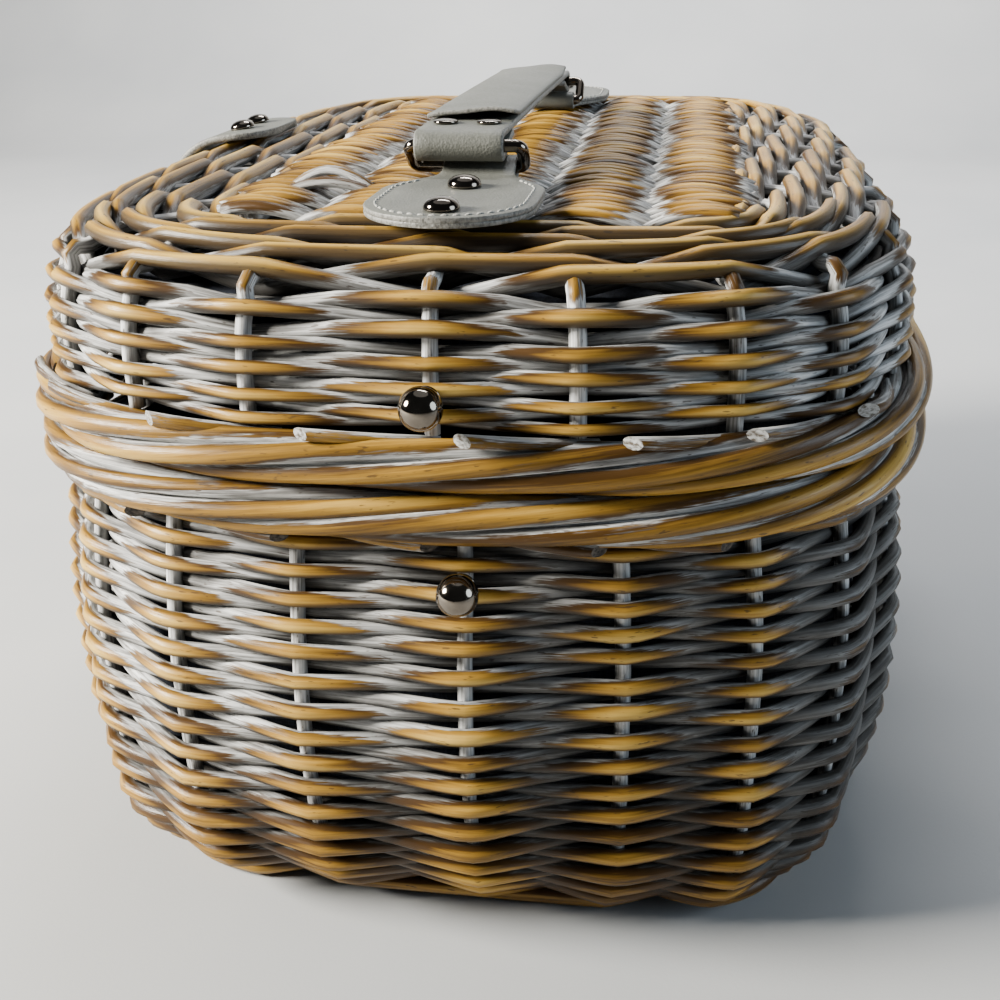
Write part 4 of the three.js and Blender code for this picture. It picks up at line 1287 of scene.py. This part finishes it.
def dome_profile(head, height, rim):
    """A domed head with a narrow rounded rim under it."""
    foot = -0.6
    neck = 0.5 * head
    profile = [(0, foot), (neck, foot), (neck, 0), (0.95 * head, 0), (head, 0.3 * rim), (head, 0.7 * rim)]
    for angle in np.linspace(0.06, math.pi / 2, 12):
        profile.append((0.985 * head * math.cos(angle), rim + (height - rim) * math.sin(angle)))
    return profile


def ball_profile(radius, neck, collar, rise):
    """A ball on a short neck with a rounded collar."""
    start = -math.acos(neck / radius)
    centre = rise - radius * math.sin(start)
    rim = collar - 0.3
    profile = [(0, -1), (neck, -1), (neck, 0), (rim, 0), (collar, 0.3), (collar, 0.7), (rim, 1), (neck, 1)]
    for angle in np.linspace(start, math.pi / 2, 24):
        profile.append((radius * math.cos(angle), centre + radius * math.sin(angle)))
    return profile


DOMED = dome_profile(head=5.0, height=3.4, rim=0.7)
FLAT = dome_profile(head=4.0, height=1.2, rim=0.5)
BUTTON = dome_profile(head=6.0, height=3.0, rim=0.8)
BALL = ball_profile(radius=5.8, neck=2.4, collar=4.0, rise=2.0)
TAB_RIVETS = [127.0, -127.0, 162.0, -162.0]  # u
STRAP_RIVETS = [(89.0, -7.0), (89.0, 7.0), (-89.0, -7.0), (-89.0, 7.0)]  # u, y from the strap's middle
FITTINGS = [  # name, body, profile, seat, axis
    ("front_rivet_1", "lid", DOMED, (FRONT_X + 9.5, -117, 231.73), (0, -0.2, 1)),
    ("front_rivet_2", "lid", DOMED, (FRONT_X - 9.5, -117, 231.73), (0, -0.2, 1)),
    ("front_button", "lid", BUTTON, (FRONT_X, -153.4, 136), (0, -1, -0.03)),
    ("lid_stud", "lid", BALL, (203.5, 3, 192), (1, 0, 0.03)),
    ("body_stud", "tub", BALL, (205.2, 11, 139), (1, 0, 0.16)),
]
for i, u in enumerate(TAB_RIVETS):
    lathe_piece(f"tab_rivet_{i + 1}", "lid", DOMED, (HANDLE_X + u, TAB_Y, TAB_TOP + GAP), UP)
for i, (u, y) in enumerate(STRAP_RIVETS):
    lathe_piece(f"strap_rivet_{i + 1}", "lid", FLAT, (HANDLE_X + u, STRAP_Y + y, strap_top(u) + GAP), UP)
for fitting in FITTINGS:
    lathe_piece(*fitting)


def add_ring(name, turn):
    """A rounded rectangle of wire that leans from the tab's loop to the strap's fold."""
    lean = UPPER_BAR - LOWER_BAR
    half_height = np.linalg.norm(lean) / 2
    lean = lean / (2 * half_height)
    middle = (UPPER_BAR + LOWER_BAR) / 2
    flat = []
    for y_sign, h_sign, start in [(1, 1, 0), (-1, 1, 0.5), (-1, -1, 1), (1, -1, 1.5)]:
        for angle in math.pi * (start + np.linspace(0, 0.5, RING_CORNER_STEPS)):
            y = RING_Y + y_sign * (RING_HALF_WIDTH - RING_CORNER) + RING_CORNER * math.cos(angle)
            h = h_sign * (half_height - RING_CORNER) + RING_CORNER * math.sin(angle)
            flat.append((y, h))
    y, h = np.array(flat).T
    centre = joined(HANDLE_X + turn * (middle[0] + h * lean[0]), y, middle[1] + h * lean[1])
    along = unit(np.roll(centre, -1, axis=0) - np.roll(centre, 1, axis=0))
    face = unit(np.cross(ACROSS_Y, [turn * lean[0], 0, lean[1]]))
    inward = np.cross(along, face)
    sections = centre[:, None] + WIRE * wheel(RING_SIDES, face, inward)
    if turn > 0:
        sections = sections[:, ::-1]
    verts, faces = loft(sections, closed=True)
    finish_piece(new_piece(name, verts, faces, NICKEL), "lid", "nickel", name)


for end, turn in ENDS:
    add_ring("handle_ring_" + end, turn)

# Floor, backdrop and light, in metres

FLOOR_HALF = 3.0
BACKDROP_X = -1.5
BACKDROP_RISE = 2.4
BACKDROP_BEND = 0.6
BEND_STEPS = 12
WORLD_COLOR = (0.75, 0.79, 0.85, 1.0)
WORLD_STRENGTH = 0.05
LIGHTS = [  # name, place, target, size, power, colour
    ("window", (0.52, -1.48, 0.86), (0.08, 0.0, 0.12), 0.55, 158.0, (1.0, 0.965, 0.88)),
    ("ceiling", (-0.35, 0.0, 1.7), (-0.2, 0.0, 0.2), 1.6, 3.0, (0.95, 0.97, 1.0)),
    ("far_wall", (0.30, 1.40, 0.60), (0.0, 0.1, 0.12), 0.9, 13.0, (0.72, 0.86, 1.0)),
    ("backdrop_wash", (-0.75, 0.0, 1.5), (-2.1, 0.0, 0.25), 0.8, 80.0, (0.97, 0.98, 1.0)),
]


def add_floor():
    """A pale sheet that lies under the basket and curves up behind it."""
    angle = np.linspace(0, math.pi / 2, BEND_STEPS)
    bend_x = BACKDROP_X - BACKDROP_BEND * np.sin(angle)
    bend_z = BACKDROP_BEND * (1 - np.cos(angle))
    profile = [(FLOOR_HALF, 0.0)] + list(zip(bend_x, bend_z)) + [(bend_x[-1], BACKDROP_RISE)]
    verts = []
    faces = []
    for i, (x, z) in enumerate(profile):
        verts.extend([(x / MM, -FLOOR_HALF / MM, z / MM), (x / MM, FLOOR_HALF / MM, z / MM)])
        if i:
            faces.append((2 * i - 2, 2 * i - 1, 2 * i + 1, 2 * i))
    floor = new_piece("floor", verts, faces, FLOOR)


def add_light(name, place, target, size, power, color):
    data = bpy.data.lights.new(name, "AREA")
    data.shape = "DISK"
    data.size = size
    data.energy = power
    data.color = color
    light = bpy.data.objects.new(name, data)
    light.location = place
    light.rotation_euler = (Vector(target) - Vector(place)).to_track_quat("-Z", "Y").to_euler()
    bpy.context.scene.collection.objects.link(light)


add_floor()
for light in LIGHTS:
    add_light(*light)
world = bpy.data.worlds.new("soft_room")
world.use_nodes = True
background = world.node_tree.nodes["Background"]
background.inputs["Color"].default_value = WORLD_COLOR
background.inputs["Strength"].default_value = WORLD_STRENGTH
bpy.context.scene.world = world
